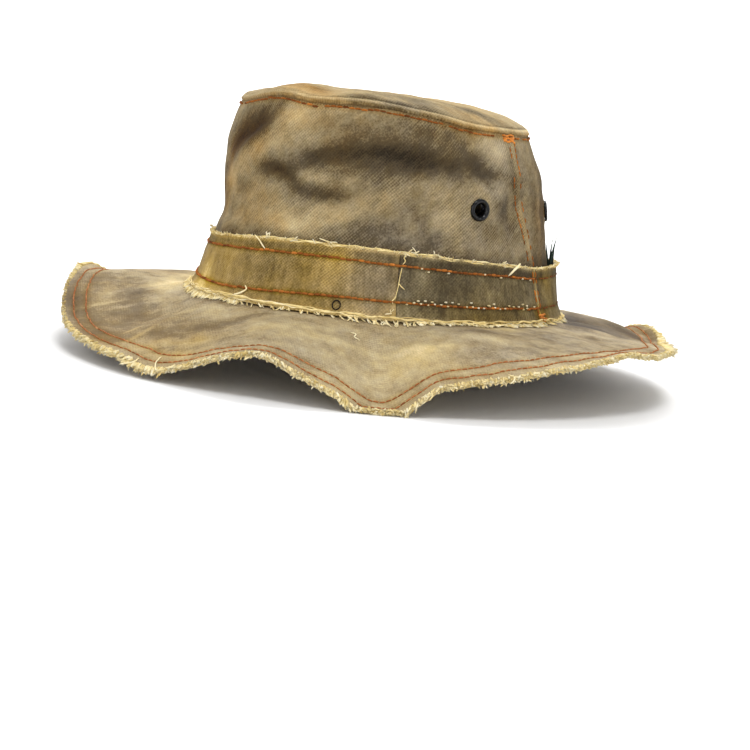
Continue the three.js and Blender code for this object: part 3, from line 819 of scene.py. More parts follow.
def strandMesh(name, paths, radii, tones, sides):
    # closed tubes from arrays: paths (strand, ring, xyz), radii (strand, ring), one tone for each strand
    count, rings = paths.shape[:2]
    heading = unit(np.gradient(paths, axis=1))
    guide = np.eye(3)[np.abs(heading[:, 0]).argmin(1)]
    side = unit(np.cross(heading[:, 0], guide))
    angle = 2 * np.pi * np.arange(sides)[:, None] / sides
    circles = []
    for ring in range(rings):
        ahead = heading[:, ring]
        side = unit(side - ahead * (side * ahead).sum(-1, keepdims=True))
        third = np.cross(ahead, side)
        circle = side[:, None] * np.cos(angle) + third[:, None] * np.sin(angle)
        circles.append(paths[:, ring, None] + circle * radii[:, ring, None, None])
    points = np.stack(circles, 1)

    index = np.arange(count * rings * sides).reshape(count, rings, sides)
    beside = np.roll(index, -1, 2)
    quads = np.stack([index[:, :-1], beside[:, :-1], beside[:, 1:], index[:, 1:]], -1)
    caps = np.concatenate([index[:, 0, ::-1], index[:, -1]])
    corners = np.concatenate([quads.ravel(), caps.ravel()])
    starts = np.concatenate([
        np.arange(quads.size // 4) * 4, quads.size + np.arange(len(caps)) * sides])

    mesh = bpy.data.meshes.new(name)
    mesh.vertices.add(points.size // 3)
    mesh.loops.add(len(corners))
    mesh.polygons.add(len(starts))
    mesh.vertices.foreach_set("co", (points * mm).astype(np.float32).ravel())
    mesh.loops.foreach_set("vertex_index", corners.astype(np.int32))
    mesh.polygons.foreach_set("loop_start", starts.astype(np.int32))
    mesh.update(calc_edges=True)

    around = np.arange(sides) / sides
    lengthwise = np.linspace(0, 1, rings)
    u = np.broadcast_to(around, (count, rings - 1, sides))
    v = np.broadcast_to(lengthwise[:-1, None], u.shape)
    step = 1 / (rings - 1)
    quadUv = np.stack([u, v, u + 1 / sides, v, u + 1 / sides, v + step, u, v + step], -1).reshape(-1, 2)
    capUv = np.stack([np.tile(around, len(caps)), np.repeat([0.0, 1.0], count * sides)], -1)
    setUv(mesh, "thread", np.concatenate([quadUv, capUv]))
    setFloats(mesh, "tone", np.repeat(tones, rings * sides))
    setFloats(mesh, "along", np.tile(np.repeat(lengthwise, sides), count))
    return mesh


def joinStrands(*groups):
    return [np.concatenate(parts) for parts in zip(*groups)]


def strandPiece(name, strands, sides, material, replaced=()):
    return addPiece(strandMesh(name, *strands, sides), material, replaced)


def strandTones(rng, middle, spread, count, shift=0):
    return np.clip(rng.normal(middle, spread, count) + shift, 0, 1)


def evenTurns(line, pitch, samples=1441):
    # turns spread evenly along a line round the hat
    turns = np.linspace(0, fullTurn, samples)
    length = np.append(0, np.cumsum(np.linalg.norm(np.diff(line(turns), axis=0), axis=1)))
    return np.interp(np.arange(0, length[-1], pitch), length, turns)


# Crown, tip and brim

def crownPanel(startSide, endSide, behind):
    # a panel between the rear seams, whose sides are 1 for the left seam and -1 for the right one
    def shape(across, share):
        start = startSide * seamTurn(share)
        end = behind + endSide * seamTurn(share)
        turn = start + (end - start) * across
        ridge, shadeAndRustUnderTip, shadeNearBand = (crown[key] for key in ("seamRidge", "shadeAndRustUnderTip", "shadeNearBand"))
        onRidge = bell(besideSeam(turn, share), ridge["toneWidth"])
        tone, warm = stainsAndShadeOf(crown, turn, share)
        # painted shade under the tip's lip and by the band's upper edge, rust tint by the tip's row
        tone += ridge["tone"] * onRidge + shadeAndRustUnderTip["tone"] * smooth(share, shadeAndRustUnderTip["start"], 1)
        tone += shadeNearBand["tone"] * (1 - smooth(share, *shadeNearBand["shares"]))
        warm += shadeAndRustUnderTip["warm"] * smooth(share, *shadeAndRustUnderTip["rust"]) + ridge["warm"] * onRidge
        flat = np.stack([turn * crown["cloth"][0], share * crown["cloth"][1]], -1)
        return {"points": crownSurface(turn, share), "flat": flat, "tone": tone, "warm": warm}
    return shape


def tipCap(across, up):
    x, y = 2 * across - 1, 2 * up - 1
    discX = x * np.sqrt(1 - y ** 2 / 2)
    discY = y * np.sqrt(1 - x ** 2 / 2)
    reach = np.clip(np.hypot(discX, discY), 1e-6, 1)
    crowd = (1 - (1 - reach) ** tip["crowding"]) / reach  # draws the points together towards the lip
    points = tipSurface(discX * crowd, discY * crowd)
    reach = reach * crowd
    tone, warm = stainsAndShadeOf(tip, points[:, 0], points[:, 1])
    tones, warms = tip["tone"], tip["warm"]
    shown = cordShown(np.degrees(np.arctan2(discX, -discY)))
    under = smooth(reach, tip["side"]["start"], tip["side"]["end"])
    # pale cord with painted shadow along the crease above it, painted shade on the lip's side, and a paler
    # top that is partly painted light
    onSeam = tones["cord"] * onCord(reach, "reach") + tones["crease"] * onCord(reach, "crease")
    tone += tones["top"] + shown * (tones["besideCord"] + onSeam) + tones["side"] * under
    warm += warms["top"] + warms["side"] * under
    flat = points[:, :2] * (1 + tip["side"]["stretch"] * under)[:, None]
    return {"points": points, "flat": flat, "tone": tone, "warm": warm}


def brimShare(up):
    # the first two rows cover the brim's ledge, the rest run evenly out to its edge
    ledgeRows = 2 / brim["grid"][1]
    inside = np.minimum(up / ledgeRows, 1)
    outside = np.clip((up - ledgeRows) / (1 - ledgeRows), 0, 1)
    return inside - 1 + outside * brim["clothEdge"]


def brimRing(across, up):
    turn = fullTurn * (1 - across)
    wave, worn, pale, rust = (brim[key] for key in ("edgeWave", "wornBack", "paleEdge", "rowRust"))
    ragged = wave["share"] * ripple(brimSmooth(turn, np.ones_like(turn)), wave["size"], wave["seed"])
    share = brimShare(up) * (1 + ragged * smooth(up, wave["start"], 1))
    share *= 1 - (1 - wornEdge(turn)) * smooth(up, worn["start"], worn["full"])
    edge = smooth(up, pale["start"], 1)
    onRows = onBrimRows(turn, share, rust["halfWidth"])
    tone, warm = stainsAndShadeOf(brim, turn, share)
    tone += pale["tone"] * edge + rust["tone"] * onRows
    # painted shade on the brim beside the band's foot
    tone += brim["shadeNearBand"]["tone"] * (1 - smooth(share, *brim["shadeNearBand"]["shares"]))
    warm += pale["warm"] * edge + rust["warm"] * onRows
    points = brimSurface(turn, share)
    return {"points": points, "flat": points[:, :2], "tone": tone, "warm": warm}


eyeletPlaces = [crownSurface(np.array(row["turn"]), np.array(row["share"])) * mm for row in eyelets]
clothHole = eyeletSize["barrel"] * eyeletSize["clothHole"] * mm
panels = (("crown_side", crown["sideGrid"], -1, 1, 0), ("crown_back", crown["backGrid"], 1, -1, fullTurn))
for nodeName, grid, startSide, endSide, behind in panels:
    mesh = clothSheet(nodeName + "_cloth", grid, crownPanel(startSide, endSide, behind))
    cutHoles(mesh, eyeletPlaces, clothHole)
    addCloth(mesh, nodeName, crown["wall"], crownCanvas)
tipMesh = clothSheet("crown_tip_cloth", tip["grid"], tipCap)
addCloth(tipMesh, "crown_tip", tip["wall"], crownCanvas)
brimMesh = clothSheet("brim_cloth", brim["grid"], brimRing, closed=True)
addCloth(brimMesh, "brim", brim["wall"], brimCanvas)


# Band

def bandLength(start, end):
    def shape(across, climb):
        turn = start + band["seamGap"] + (end - start - 2 * band["seamGap"]) * across
        wave, under, dip, ridge = (band[key] for key in ("edgeWave", "shadowUnderTop", "rowDip", "seamRidge"))
        level = crownSmooth(turn, np.full_like(turn, wave["level"]))
        climb = climb * (1 + wave["share"] * ripple(level, wave["size"], wave["seed"]))
        height = climb * bandTopHeight(turn)
        fromTop = bandTopHeight(turn) - height
        tone, warm = stainsAndShadeOf(band, turn, climb)
        for edge, distance in (("paleTop", fromTop), ("paleFoot", height)):
            tone += band[edge]["tone"] * bell(distance, band[edge]["toneWidth"])
            warm += band[edge]["warm"] * bell(distance, band[edge]["warmWidth"])
        # painted shadow under the band's rolled upper edge
        tone += under["tone"] * bell(fromTop - under["depth"], under["width"])
        tone += dip["tone"] * onBandRows(turn, climb) + ridge["tone"] * onBandSeam(turn)
        warm += dip["warm"] * onBandRows(turn, climb) + ridge["warm"] * onBandSeam(turn)
        flat = np.stack([turn * band["cloth"][0], height], -1)
        return {"points": bandSurface(turn, climb), "flat": flat, "tone": tone, "warm": warm}
    return shape


lengths = (
    ("band_front", -band["seamTurn"], band["joinTurn"], bandCanvas, "band_canvas"),
    ("band_side", band["joinTurn"], band["seamTurn"], patchCanvas, "patch_canvas"),
    ("band_back", band["seamTurn"], fullTurn - band["seamTurn"], patchCanvas, "patch_canvas"),
)
for nodeName, start, end, material, slotName in lengths:
    columns = round((end - start) / band["columnTurn"])
    mesh = clothSheet(nodeName + "_cloth", (columns, band["gridRows"]), bandLength(start, end))
    addCloth(mesh, nodeName, band["wall"], material)


# Eyelets

def dentedCrown(turn, share):
    return offCrown(turn, share, dentPush(turn, share))


def eyeletRing(row):
    hole, barrel, flange, washer, thick, gap, bend = (
        eyeletSize[key] for key in ("hole", "barrel", "flange", "washer", "thick", "gap", "bend"))
    inside = -crown["wall"] - gap
    rim = [math.radians(angle) for angle in range(-15, 151, 15)]
    profile = [
        (hole, inside - thick * 0.7), (hole + 0.3, inside - thick), (washer - 0.3, inside - thick),
        (washer, inside - thick * 0.6), (washer, inside), (barrel, inside), (barrel, gap * 0.5),
    ]
    profile += [(flange - bend + bend * math.cos(angle), gap + bend * math.sin(angle)) for angle in rim]
    profile += [(hole + 0.2, gap + 0.1), (hole, gap - 0.4)]
    ring = lathe([(radius * mm, height * mm) for radius, height in profile], True, eyeletSize["steps"])
    turn, share = np.array(row["turn"], float), np.array(row["share"], float)
    facing = Vector(outward(dentedCrown, turn, share)).to_track_quat("Z", "Y").to_matrix().to_4x4()
    ring.transform(Matrix.Translation(Vector(dentedCrown(turn, share) * mm)) @ facing)
    addPiece(meshFrom(ring, row["node"] + "_ring"), blackEnamel, [row["node"]])


for row in eyelets:
    eyeletRing(row)
print("eyelets made")


# Stitch rows

stitch = {
    "pitch": 3.1, "fill": 0.97, "radius": 0.58, "arch": (-0.8, 0.45, 0.7, 0.45, -0.8),
    "taper": (0.75, 1, 1, 1, 0.75), "wander": 0.14, "sides": 6,
}
brimThread = {**stitch, "radius": 0.41}
bandThread = {**stitch, "radius": 0.66}
seamThread = {**stitch, "radius": 0.42}
tipThread = {**stitch, "radius": 0.54, "wander": 0.2}
crownThread = {**stitch, "radius": 0.36}
tackThread = {**stitch, "pitch": 2.3, "wander": 0.45}
dotThread = {**stitch, "pitch": 3.7, "fill": 0.23, "radius": 0.44, "wander": 0.5}
tipRow = 0.973  # share of the crown where the tip is sewn on

# crowded stitches where two rows end
bandTack = {"turns": (121.8, 126.4), "levels": (0.04, 0.09, 0.14), "tone": 0.75, "lost": 0.2}
crownTack = {
    "turns": (113.6, 121.4), "levels": (0.954, 0.961, 0.968, 0.975, 0.982), "tone": 0.95, "lost": 0.05}

# pale stitches that lock the darker length of the band, over and beside its two rows
lockRows = rowsOf("start offset lost", (69, 0.045, 0.5), (70, 0.008, 0.4), (69.5, 0.525, 0.75))
lockEnd = 121


def stitchRow(surface, turn, at, look, rng, facing=1, tone=0.5, lost=0.02):
    # one short arched strand for each stitch along a line of a surface
    turn, at = np.broadcast_arrays(np.asarray(turn, float), np.asarray(at, float))
    points = surface(turn, at)
    normals = facing * outward(surface, turn, at)
    length = np.append(0, np.cumsum(np.linalg.norm(np.diff(points, axis=0), axis=1)))
    count = max(1, int(length[-1] / look["pitch"]))
    pitch = length[-1] / count
    reach = np.linspace(-0.5, 0.5, len(look["arch"])) * look["fill"] * pitch
    where = (np.arange(count)[:, None] + 0.5) * pitch + reach
    paths = np.stack([np.interp(where, length, points[:, axis]) for axis in range(3)], -1)
    faces = unit(np.stack([np.interp(where, length, normals[:, axis]) for axis in range(3)], -1))
    sideways = unit(np.cross(faces, np.gradient(paths, axis=1)))
    paths += faces * (np.array(look["arch"]) * look["radius"])[:, None]
    paths += sideways * rng.normal(0, look["wander"], (count, 1, 1))
    radii = np.array(look["taper"]) * look["radius"] * rng.uniform(0.85, 1.1, (count, 1))
    tones = strandTones(rng, tone, 0.13, count)
    kept = rng.random(count) > lost
    return paths[kept], radii[kept], tones[kept]


def overBand(turn, climb):
    # just over the threads that lie on the band
    return bandSurface(turn, climb, 0.5)


def seamRows(surface, seam, at, offset, look, rng, **settings):
    # rows on both sides of the two mirrored rear seams
    places = [(side, beside) for side in (-1, 1) for beside in (-offset, offset)]
    return [stitchRow(surface, side * (seam + beside), at, look, rng, **settings) for side, beside in places]


def tackRows(surface, place, rng):
    turns = np.linspace(*place["turns"], 40)
    return [
        stitchRow(surface, turns, level, tackThread, rng, tone=place["tone"], lost=place["lost"])
        for level in place["levels"]]


def stitchPiece(name, rows, material):
    return strandPiece(name, joinStrands(*rows), stitch["sides"], material)


rng = np.random.default_rng(71)
roundTurns = np.linspace(0, fullTurn, 2881)
brimRows = [
    stitchRow(
        brimSurface, roundTurns, share * wornEdge(roundTurns), brimThread, rng, facing=-1,
        tone=0.45, lost=0.004)
    for share in brim["rowShares"]]
brimStitches = stitchPiece("brim_stitches", brimRows, fadedThread)

frontTurns = np.linspace(-band["seamTurn"], band["seamTurn"], 2001)
rearTurns = np.linspace(band["seamTurn"], fullTurn - band["seamTurn"], 901)
seamClimb = np.linspace(0.05, 0.95, 200)
bandRows = []
for row in band["rows"]:
    frontClimb, rearClimb = rowClimb(row, frontTurns), rowClimb(row, rearTurns)
    bandRows.append(stitchRow(bandSurface, frontTurns, frontClimb, bandThread, rng, lost=0.01))
    bandRows.append(stitchRow(bandSurface, rearTurns, rearClimb, seamThread, rng, tone=0.2, lost=0.3))
bandRows += seamRows(
    bandSurface, np.full_like(seamClimb, band["seamTurn"]), seamClimb, 1, seamThread, rng,
    tone=0.6, lost=0.25)
bandRows += tackRows(bandSurface, bandTack, rng)
bandStitches = stitchPiece("band_stitches", bandRows, rustThread)

seamShare = np.linspace(0.3, 0.955, 300)
crownRows = [stitchRow(crownSurface, roundTurns, tipRow, tipThread, rng, tone=0.4, lost=0.12)]
crownRows += seamRows(
    crownSurface, seamTurn(seamShare), seamShare, 1.8, crownThread, rng, tone=0.5, lost=0.35)
crownRows += tackRows(crownSurface, crownTack, rng)
crownStitches = stitchPiece("crown_stitches", crownRows, rustThread)

dotRows = []
for row in lockRows:
    dotTurns = np.linspace(row["start"], lockEnd, 200)
    dotClimb = rowClimb(band["rows"][0], dotTurns) + row["offset"]
    dotRows.append(stitchRow(overBand, dotTurns, dotClimb, dotThread, rng, tone=0.75, lost=row["lost"]))
bandDots = stitchPiece("band_lock_stitches", dotRows, frayYarn)
print("stitches made")


# Frayed edge of the brim

brimFray = {
    "start": 0.988, "sides": 4, "taper": (0.75, 1, 1, 0.9, 0.45), "scatter": 0.9,
    "layers": rowsOf(
        "lift pitch radius reach curl",
        (0.0, 0.85, 0.5, 2.1, -0.3), (-0.9, 0.85, 0.5, 2.5, 0), (-1.8, 0.85, 0.5, 2.1, 0.3)),
    "fibre": {"lift": -0.9, "pitch": 0.5, "radius": 0.13, "reach": 3.0, "curl": 0.2},
    "fibreTaper": (1, 1, 1, 0.8, 0.4), "fibreScatter": 2.4, "fibreSides": 3,
    "fullness": rowsOf(  # places where the fray is worn thin or stands out longer
        "turn spread more", (-21, 10, -0.45), (-41, 6, 0.6), (18, 6, 0.35), (147, 11, 2.5), (60, 5, 0.2)),
    "clumps": {"tone": 0.1, "size": 7, "seed": 83},
}


def brimEdge(turns):
    return brimSurface(turns, np.full_like(turns, 1.0))


def brimStubs(rng, taper, scatter, lift, pitch, radius, reach, curl):
    turn = evenTurns(brimEdge, pitch)[:, None]
    count = len(turn)
    s = np.linspace(0, 1, len(taper))
    full = 1 + sum(row["more"] * turnBell(row, turn) for row in brimFray["fullness"])
    lean = rng.normal(0, scatter, (count, 1)) / brim["cloth"][0]
    turns = turn + rng.normal(0, 0.12, (count, 1)) + lean * s ** 1.3
    shares = brimFray["start"] * wornEdge(turn) + rng.uniform(-0.008, 0.008, (count, 1))
    shares = shares + reach * full * rng.uniform(0.7, 1.15, (count, 1)) * s / brim["cloth"][1]
    lifts = lift + rng.normal(0, 0.25, (count, 1)) + (curl + rng.normal(0, 0.7, (count, 1))) * s ** 2
    paths = brimSurface(turns, shares, lifts)
    radii = np.array(taper) * radius * np.minimum(full, 1.2) * rng.uniform(0.75, 1.2, (count, 1))
    paths[..., 2] = np.maximum(paths[..., 2], radii + 0.05)
    clumps = brimFray["clumps"]
    shift = clumps["tone"] * ripple(paths[:, -1], clumps["size"], clumps["seed"])
    return paths, radii, strandTones(rng, 0.52, 0.13, count, shift - 0.6 * np.maximum(0, 1 - full[:, 0]))


rng = np.random.default_rng(81)
tufts = [brimStubs(rng, brimFray["taper"], brimFray["scatter"], **layer) for layer in brimFray["layers"]]
brimTufts = strandPiece("brim_fray", joinStrands(*tufts), brimFray["sides"], frayYarn)
fibres = brimStubs(rng, brimFray["fibreTaper"], brimFray["fibreScatter"], **brimFray["fibre"])
brimFibres = strandPiece("brim_fibres", fibres, brimFray["fibreSides"], frayYarn)


# Frayed edges of the band

bandFray = {
    "sides": 5,
    "roll": {"strands": 3, "pieceTurn": 17, "overlap": 1.15, "rings": 22, "radius": 0.38},
    "stub": {"count": 560, "radius": 0.24, "reach": 1.7, "taper": (0.8, 1, 0.9, 0.4)},
    "foot": {
        "count": 600, "reach": 3.2, "radius": 0.36, "taper": (0.8, 1, 1, 0.9, 0.4), "start": 0.04,
        "frontShare": 0.35, "frontTurns": (-45, 20)},
    "loops": {"rows": ((60, 119, 2.6), (71, 112, 3.7)), "start": 0.036, "rings": 9},
}


def rolledStrands(level, rng):
    # loosened threads that run along a raw edge
    # level gives points from a turn, a rise in mm and a stand in mm
    look = bandFray["roll"]
    starts = np.concatenate([
        np.arange(0, fullTurn, look["pieceTurn"]) + rng.uniform(0, look["pieceTurn"])
        for _ in range(look["strands"])])
    count = len(starts)
    s = np.linspace(0, 1, look["rings"])
    turns = starts[:, None] + look["pieceTurn"] * look["overlap"] * s
    wave = rng.uniform(0, 2 * np.pi, (count, 4, 1))
    rise = rng.uniform(-0.6, 0.5, (count, 1))
    rise = rise + 0.3 * np.sin(9 * s + wave[:, 0]) + 0.2 * np.sin(23 * s + wave[:, 1])
    stand = rng.uniform(-1.3, 0.2, (count, 1))
    stand = stand + 0.25 * np.sin(8 * s + wave[:, 2]) + 0.2 * np.sin(21 * s + wave[:, 3])
    radii = look["radius"] * rng.uniform(0.7, 1.35, (count, 1)) * (1 + 0.3 * np.sin(17 * s + wave[:, 1]))
    radii *= np.minimum(1, 6 * np.minimum(s, 1 - s) + 0.25)
    return level(turns, rise, stand), radii, strandTones(rng, 0.48, 0.14, count)


def bandTopLevel(turns, rise, stand):
    return bandSurface(turns, 1 + rise / bandTopHeight(turns), stand)


def bandFootLevel(turns, rise, stand):
    points = bandSurface(turns, np.clip(0.02 + rise / bandTopHeight(turns), 0, 1), stand + 0.9)
    points[..., 2] += 0.35
    return points


def topStubs(rng):
    # short ends that stand out of the band's upper edge
    look = bandFray["stub"]
    count = look["count"]
    turn = rng.uniform(0, fullTurn, (count, 1))
    s = np.linspace(0, 1, len(look["taper"]))
    rise = -0.8 + look["reach"] * rng.uniform(0.4, 1.3, (count, 1)) * s
    turns = turn + rng.normal(0.3, 0.8, (count, 1)) * s
    stand = rng.uniform(-1.4, 0.3, (count, 1)) + 0.8 * s ** 2 + rng.normal(0, 0.6, (count, 1)) * s
    radii = np.array(look["taper"]) * look["radius"] * rng.uniform(0.7, 1.25, (count, 1))
    return bandTopLevel(turns, rise, stand), radii, strandTones(rng, 0.5, 0.15, count)


def footStrands(rng):
    # strands from under the band's foot, lying out over the brim
    look = bandFray["foot"]
    count = look["count"]
    atFront = rng.random((count, 1)) < look["frontShare"]
    frontTurn = rng.uniform(*look["frontTurns"], (count, 1))
    turn = np.where(atFront, frontTurn, rng.uniform(0, fullTurn, (count, 1)))
    s = np.linspace(0, 1, len(look["taper"]))
    shares = look["start"] + look["reach"] * rng.uniform(0.3, 1.4, (count, 1)) * s / brim["cloth"][1]
    turns = turn + rng.normal(0.6, 1.0, (count, 1)) * s
    lifts = 0.35 + 1.3 * (1 - s) ** 2 + rng.uniform(0, 0.5, (count, 1))
    radii = np.array(look["taper"]) * look["radius"] * rng.uniform(0.6, 1.4, (count, 1))
    return brimSurface(turns, shares, lifts), radii, strandTones(rng, 0.55, 0.15, count)


def footLoops(rng):
    # pale loops of thread that hang along the foot of the darker length
    look = bandFray["loops"]
    turn = np.concatenate([np.arange(*row) for row in look["rows"]])[:, None]
    turn = turn + rng.uniform(-1, 1, turn.shape)
    s = np.linspace(0, 1, look["rings"])
    bow = np.sin(np.pi * s)
    lean = rng.uniform(0.6, 2.2, turn.shape)
    turns = turn + lean * s + rng.uniform(0.4, 0.8, turn.shape) * np.sin(2 * np.pi * s)
    shares = look["start"] + rng.uniform(0.015, 0.05, turn.shape) * bow ** 0.8
    lifts = 0.5 + rng.uniform(0.2, 1.0, turn.shape) * (1 - bow)
    radii = rng.uniform(0.3, 0.52, turn.shape) * (0.6 + 0.4 * bow)
    return brimSurface(turns, shares, lifts), radii, strandTones(rng, 0.75, 0.1, len(turn))


def frayPiece(name, strands):
    return strandPiece(name, strands, bandFray["sides"], frayYarn)


rng = np.random.default_rng(82)
topRoll = frayPiece("band_top_roll", rolledStrands(bandTopLevel, rng))
topFray = frayPiece("band_top_fray", topStubs(rng))
footRoll = frayPiece("band_foot_roll", rolledStrands(bandFootLevel, rng))
footFray = frayPiece("band_foot_fray", footStrands(rng))
loops = frayPiece("band_foot_loops", footLoops(rng))
print("frayed edges made")


# Loose threads

threadSides = 6
threadRings = 9
threadTaper = ((0, 0.1, 0.85, 1), (0.7, 1, 1, 0.4))
bandLoose = rowsOf(
    "radius tone bends",  # bends as turn, height over the brim and stand off the band
    (0.34, 0.7, ((17.5, 33, 0.2), (19.5, 31.5, 1.0), (21.5, 29, 0.9), (23, 27, 0.5))),
    (0.4, 0.7, ((19, 7.4, 0.4), (20.2, 5.6, 1.0), (18.6, 3, 1.3), (16.6, 1.4, 1.8))),
    (0.3, 0.5, ((68.2, 18.2, 0.3), (68.8, 17, 0.9), (69.4, 16.2, 0.9), (70.2, 15.4, 0.5))),
    (0.55, 0.7, ((113.4, 31, 0.5), (111.5, 29.6, 1.2), (109.8, 27.4, 1.2), (107.8, 24.8, 0.6))),
    (0.45, 0.7, ((112.8, 30.6, 0.9), (111, 28.8, 1.7), (109.2, 26.8, 1.6), (108.2, 25.6, 1.0))),
    (0.26, 0.4, ((68.9, 26, 0.3), (68.4, 21, 0.4), (68.1, 16, 0.35), (67.5, 11, 0.4))),
    (0.34, 0.5, ((67.7, 12, 0.3), (67.2, 10.4, 0.5), (66.6, 9.2, 0.5), (66.9, 8, 0.4))),
    (0.3, 0.45, ((69.8, 33, 0.7), (69.2, 31, 0.5), (69.7, 29.5, 0.5), (69, 27.6, 0.4))))
brimLoose = rowsOf(
    "radius tone bends",  # bends as turn, share and lift off the brim
    (0.34, 0.7, ((20.8, 0.87, 0.3), (21.2, 0.93, 0.9), (22.2, 0.985, 1.0), (23.4, 1.03, 0.2))),
    (0.34, 0.7, ((17.2, 0.95, 0.2), (17.6, 1.0, 0.8), (16.8, 1.04, 0.5), (15.6, 1.07, -0.6))),
    (0.34, 0.7, ((56, 0.24, 0.3), (57.4, 0.255, 0.7), (57, 0.285, 0.6), (58.4, 0.3, 0.3))),
    (0.34, 0.7, ((84, 0.97, 0.2), (84.6, 1.01, 0.6), (84.2, 1.04, 0), (83.4, 1.06, -0.8))))
looseTufts = rowsOf(
    "turn height strands",
    (23.6, 33.4, 7), (34, 34, 5), (45.4, 34.6, 8), (72.4, 33.8, 7), (79.2, 33.4, 7), (104.6, 31, 5),
    (69.4, 33.4, 8), (66.4, 3.5, 3), (-30, 30, 6), (-75, 30, 6), (178, 28.4, 6))
darkLoop = {
    "turn": 50.5, "height": 4.6, "halfWidth": 1.9, "halfHeight": 2.3, "radius": 0.35, "tone": 0.4,
    "rings": 17,
}


def bandPlace(turn, height, stand):
    return bandSurface(turn, height / bandTopHeight(turn), stand)


def bentThreads(threads, place):
    # smooth threads through their bends, whose columns are what place takes
    s = np.linspace(0, 1, threadRings)
    paths = []
    for thread in threads:
        steps = np.linspace(0, 1, len(thread["bends"]))
        rows = rowsOf("s first second third", *((at, *bend) for at, bend in zip(steps, thread["bends"])))
        paths.append(place(*(curve(rows, "s", key, s) for key in ("first", "second", "third"))))
    radii = [thread["radius"] * np.interp(s, *threadTaper) for thread in threads]
    return np.array(paths), np.array(radii), np.array([thread["tone"] for thread in threads])


def tuftPaths(rng):
    s = np.linspace(0, 1, threadRings)
    groups = []
    for tuft in looseTufts:
        count = tuft["strands"]
        turns = tuft["turn"] + rng.normal(0, 0.4, (count, 1)) + rng.normal(0, 1.0, (count, 1)) * s
        heights = tuft["height"] + rng.normal(0, 0.3, (count, 1)) + rng.normal(0.4, 1.2, (count, 1)) * s
        stands = 0.2 + rng.uniform(0.2, 1.4, (count, 1)) * np.sin(2.4 * s)
        radii = rng.uniform(0.18, 0.34, (count, 1)) * np.interp(s, (0, 0.8, 1), (1, 1, 0.4))
        groups.append((bandPlace(turns, heights, stands), radii, strandTones(rng, 0.72, 0.1, count)))
    return joinStrands(*groups)


def loopPath(look):
    around = np.linspace(0, 2 * np.pi, look["rings"])
    turns = look["turn"] + look["halfWidth"] * np.sin(around) / band["cloth"][0]
    heights = look["height"] - look["halfHeight"] * np.cos(around)
    path = bandPlace(turns, heights, 0.4 + 0.3 * np.sin(around))[None]
    return path, np.full((1, look["rings"]), look["radius"]), np.array([look["tone"]])


brimStrays = strandPiece(
    "brim_loose_threads", bentThreads(brimLoose, brimSurface), threadSides, frayYarn)
bandStrays = joinStrands(bentThreads(bandLoose, bandPlace), tuftPaths(np.random.default_rng(84)))
threads = strandPiece("band_loose_threads", bandStrays, threadSides, frayYarn)
strandPiece("band_dark_loop", loopPath(darkLoop), threadSides, darkThread)
print("loose threads made")


# Feather

feather = {
    "turn": 150, "foot": 14, "standFoot": 0.7, "fan": 2.4, "leastStand": 0.4, "rings": 8, "sides": 5,
    "taper": ((0, 0.2, 0.8, 1), (0.2, 0.32, 0.3, 0.08)),
    "tongues": rowsOf(
        "length lean stand width strands",
        (30.5, -3, 6.6, 1.5, 90), (27.5, 1, 0.9, 1.1, 60), (31, -2, 4.6, 0.6, 24)),
}


def featherPaths(rng):
    # strands that run up from the quill's foot in three pointed tongues, each fanned out and drawn in again
    s = np.linspace(0, 1, feather["rings"])
    swell = np.sqrt(s) * (1 - 0.9 * s ** 3)
    groups = []
    for tongue in feather["tongues"]:
        count = tongue["strands"]
        place = np.linspace(-1, 1, count)[:, None]
        reach = s * (1 - 0.22 * np.abs(place)) * rng.uniform(0.94, 1.02, (count, 1))
        stand = feather["standFoot"] + (tongue["stand"] - feather["standFoot"]) * reach ** 1.6
        stand = stand + tongue["width"] * place * swell + rng.normal(0, 0.06, (count, 1))
        turn = feather["turn"] + tongue["lean"] * reach + feather["fan"] * place * swell
        share = (feather["foot"] + tongue["length"] * reach) / tip["level"]
        paths = offCrown(turn, share, np.maximum(stand, feather["leastStand"]))
        radii = np.tile(np.interp(s, *feather["taper"]), (count, 1))
        groups.append((paths, radii, strandTones(rng, 0.4, 0.15, count)))
    return joinStrands(*groups)


barbs = featherPaths(np.random.default_rng(91))
strandPiece("feather_barbs", barbs, feather["sides"], featherVane, ["feather"])
print("feather made")


# Stage, light and camera

studio = {
    "floorRadius": 1.7, "wallRadius": 2.7, "wallHeight": 2.4, "bendSteps": 8, "roundSteps": 96,
    "white": (0.84, 0.84, 0.84, 1), "roughness": 0.95, "specular": 0.1, "sky": 0.62,
}
lamps = rowsOf(
    "name place aim size power",
    ("key", (0.95, -0.4, 2.2), (0, 0, 0.07), 0.85, 26),
    ("back", (-0.9, 0.9, 1.9), (0, 0, 0.07), 1.2, 5),
    ("front", (1.2, -0.9, 0.4), (0, 0, 0.05), 1.0, 4),
    ("wall", (-1.0, 0.5, 2.0), (-2.3, 1.4, 0.5), 1.6, 70),
)
view = {
    "turn": 58, "rise": 6.5, "distance": 1045, "roll": 6.4, "focalPixels": 1925,
    "imageSide": 750, "aimPixel": (378, 300), "aimHeight": 35.5, "sensor": 36,
}


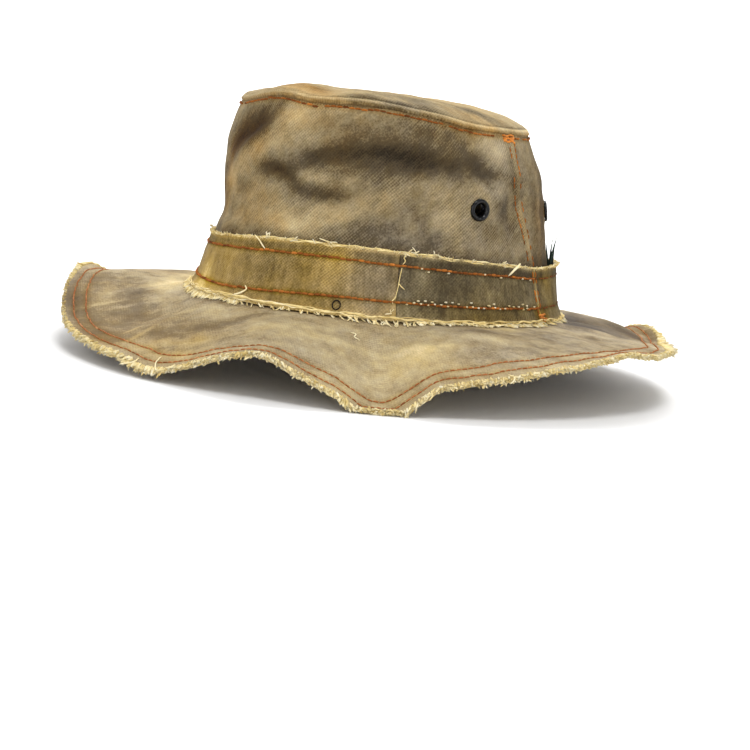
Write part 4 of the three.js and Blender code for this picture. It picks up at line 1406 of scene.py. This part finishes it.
def makeStage():
    bend = studio["wallRadius"] - studio["floorRadius"]
    profile = [(0, 0), (studio["floorRadius"], 0)]
    for step in range(1, studio["bendSteps"] + 1):
        angle = math.pi / 2 * step / studio["bendSteps"]
        profile.append((studio["floorRadius"] + bend * math.sin(angle), bend * (1 - math.cos(angle))))
    profile.append((studio["wallRadius"], studio["wallHeight"]))
    mesh = meshFrom(lathe(profile, False, studio["roundSteps"]), "studio_floor")
    mesh.shade_smooth()
    material, tree, place = startMaterial("studio_white")
    normal = bump(tree, noise(tree, place, 900.0, 2.0, 0.5), 0.02)
    finishMaterial(tree, studio["white"], studio["roughness"], normal, studio["specular"])
    mesh.materials.append(material)
    floor = linked("studio_floor", mesh)


def makeLamps():
    for row in lamps:
        light = bpy.data.lights.new(row["name"], "AREA")
        light.shape = "DISK"
        light.size = row["size"]
        light.energy = row["power"]
        lamp = linked(row["name"], light)
        lamp.location = row["place"]
        aim = Vector(row["aim"]) - lamp.location
        lamp.rotation_euler = aim.to_track_quat("-Z", "Y").to_euler()
    world = bpy.data.worlds.new("sky")
    world.use_nodes = True
    background = world.node_tree.nodes["Background"]
    background.inputs["Color"].default_value = (1, 1, 1, 1)
    background.inputs["Strength"].default_value = studio["sky"]
    bpy.context.scene.world = world
    bpy.context.scene.view_settings.view_transform = "Standard"


def makeCamera():
    turn, rise, roll = (math.radians(view[key]) for key in ("turn", "rise", "roll"))
    back = Vector((math.sin(turn) * math.cos(rise), -math.cos(turn) * math.cos(rise), math.sin(rise)))
    right = Vector((math.cos(turn), math.sin(turn), 0))
    up = back.cross(right)
    across = right * math.cos(roll) + up * math.sin(roll)
    upright = up * math.cos(roll) - right * math.sin(roll)
    rolled = Matrix((across, upright, back))
    half = view["imageSide"] / 2
    sight = Vector((view["aimPixel"][0] - half, half - view["aimPixel"][1], -view["focalPixels"]))
    offset = sight.rotation_difference(Vector((0, 0, -1))).to_matrix()
    axes = offset.transposed() @ rolled
    spot = (Vector((0, 0, view["aimHeight"])) + back * view["distance"]) * mm
    lens = bpy.data.cameras.new("camera")
    lens.sensor_width = view["sensor"]
    lens.lens = view["focalPixels"] / view["imageSide"] * view["sensor"]
    camera = linked("camera", lens)
    camera.matrix_world = Matrix.Translation(spot) @ axes.transposed().to_4x4()
    bpy.context.scene.camera = camera


makeStage()
makeLamps()
makeCamera()
print("stage, light and camera made")
